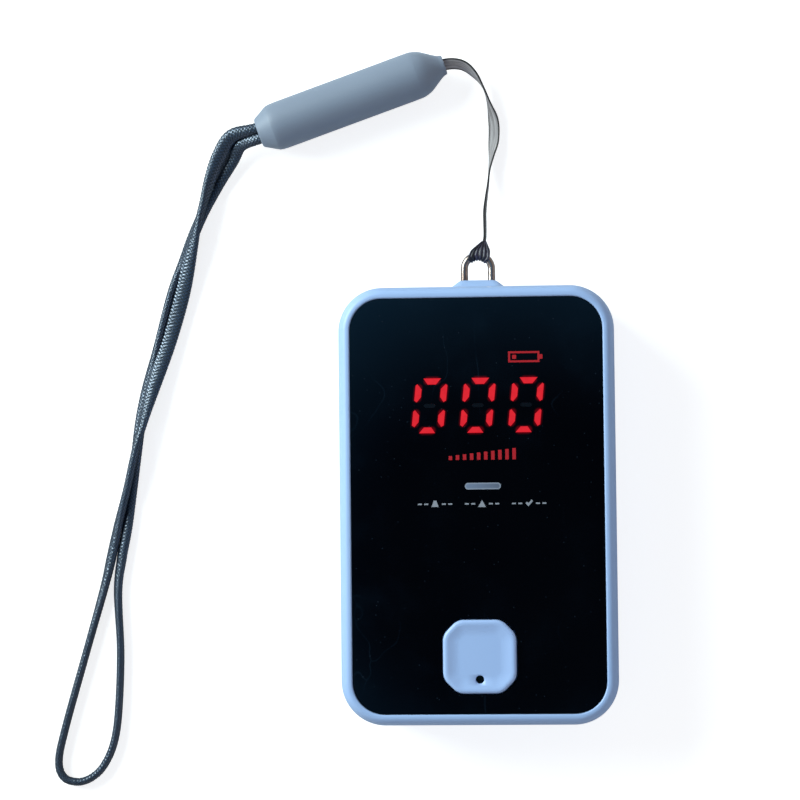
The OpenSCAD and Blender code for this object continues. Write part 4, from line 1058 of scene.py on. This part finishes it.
# %% Dressing
finishes = {
    case_plastic: [case_front, case_back, door_cover],
    button_plastic: [test_button],
    panel_gloss: ["display_panel"],
    tape_adhesive: ["panel_tape"],
    lit_red: ["lit_segments"],
    unlit_bar: ["unlit_segments"],
    mark_red: ["battery_mark", "level_bars"],
    mark_grey: ["status_marks"],
    lamp_lens: ["lamp_guide"],
    black_plastic: ["switch_plunger", "buzzer"],
    pale_plastic: ["display_block"],
    lamp_chip: ["status_leds"],
    board_green: ["main_board"],
    chip_black: ["board_chips"],
    sensor_metal: ["test_switch", "gas_sensor"],
    foam_black: ["sensor_gasket", "buzzer_gasket"],
    filter_white: ["dust_filter"],
    cell_wrap: [cell_pair],
    contact_nickel: ["contact_plates", spring_pair],
    screw_steel: [screw_set, "board_screws"],
    loop_steel: [wire_loop],
    ribbon_satin: [tether_ribbon],
    knot_satin: [ribbon_hitch],
    sleeve_rubber: [grip_sleeve],
    anchor_metal: ["cord_anchor"],
    cord_braid: [wrist_cord],
}
for finish, wearers in finishes.items():
    for wearer in wearers:
        dress(cad[wearer] if isinstance(wearer, str) else wearer, finish)
print("finishes:", len(finishes), "pieces dressed:", sum(len(w) for w in finishes.values()))

# %% [markdown]
# ## Floor and light
# The photograph is a product shot: white all round, one large soft light from the
# upper left, and nothing bright straight above, so the panel stays black. The sky
# is therefore bright near the horizon and nearly dark overhead, with a faint blue
# ring round a dark spot that the panel mirrors. The floor lies just under the
# case, is white to the camera and keeps a soft shadow.

# %% Floor
reach = 1.6
low = -0.0003
floor_mesh = bpy.data.meshes.new("floor")
floor_mesh.from_pydata([(-reach, -reach, low), (reach, -reach, low), (reach, reach, low),
                        (-reach, reach, low)], [], [(0, 1, 2, 3)])
floor = bpy.data.objects.new("floor", floor_mesh)
bpy.context.collection.objects.link(floor)
floor_white, shader, _ = new_material("floor_white", Base_Color=(0.6, 0.6, 0.6, 1.0), Roughness=0.9,
                                      Emission_Color=(1.0, 1.0, 1.0, 1.0), Specular_IOR_Level=0.1)
seen = add("LightPath", tree=floor_white.node_tree).outputs["Is Camera Ray"]
feed(shader, Emission_Strength=times(seen, 0.76))
dress(floor, floor_white)
print("floor side, m:", 2 * reach)

# %% Sky
world = bpy.data.worlds.new("studio")
world.use_nodes = True
bpy.context.scene.world = world
sky = world.node_tree
sky.nodes.clear()
direction = add("TexCoord", tree=sky).outputs["Generated"]
off_top = add("VectorMath", {0: direction, 1: (0.005, -0.03, 1.0)}, operation="DISTANCE").outputs["Value"]
past_ring = spread(off_top, 0.18, 0.42)
ring = times(spread(past_ring, 0.0, 1.0, 0.9, 0.0), sums("POWER", spread(off_top, 0.07, 0.16), 1.7))
open_sky = times(spread(axes(direction)["Z"], 0.3, 0.95, 0.58, 0.06), past_ring)
sky_tint = tinted(past_ring, (0.12, 0.5, 1.0, 1.0), (0.97, 0.97, 1.0, 1.0))
seen = add("LightPath", tree=sky).outputs["Is Camera Ray"]
light = add("Background", {"Color": tinted(seen, sky_tint, (1.0, 1.0, 1.0, 1.0)),
                           "Strength": sums("MAXIMUM", sums("MAXIMUM", open_sky, ring), seen)})
add("OutputWorld", {"Surface": light.outputs[0]})


# %% Lamps
def soft_lamp(name, place_at, target, size, watts, tint):
    """A square area lamp turned from its place to its target."""
    data = bpy.data.lights.new(name, "AREA")
    data.size = size
    data.energy = watts
    data.color = tint
    lamp = bpy.data.objects.new(name, data)
    lamp.location = place_at
    aim = mathutils.Vector(target) - mathutils.Vector(place_at)
    lamp.rotation_euler = aim.to_track_quat("-Z", "Y").to_euler()
    bpy.context.collection.objects.link(lamp)
    print(name, "gives", watts, "W")


soft_lamp("key_lamp", (-0.43, 0.25, 0.29), (0.0, 0.0, 0.01), 0.33, 4.05, (0.86, 1.0, 0.99))
soft_lamp("fill_lamp", (0.45, -0.15, 0.30), (0.0, 0.0, 0.01), 0.5, 0.18, (0.98, 0.95, 1.0))

# %% View transform
bpy.context.scene.view_settings.view_transform = "Standard"
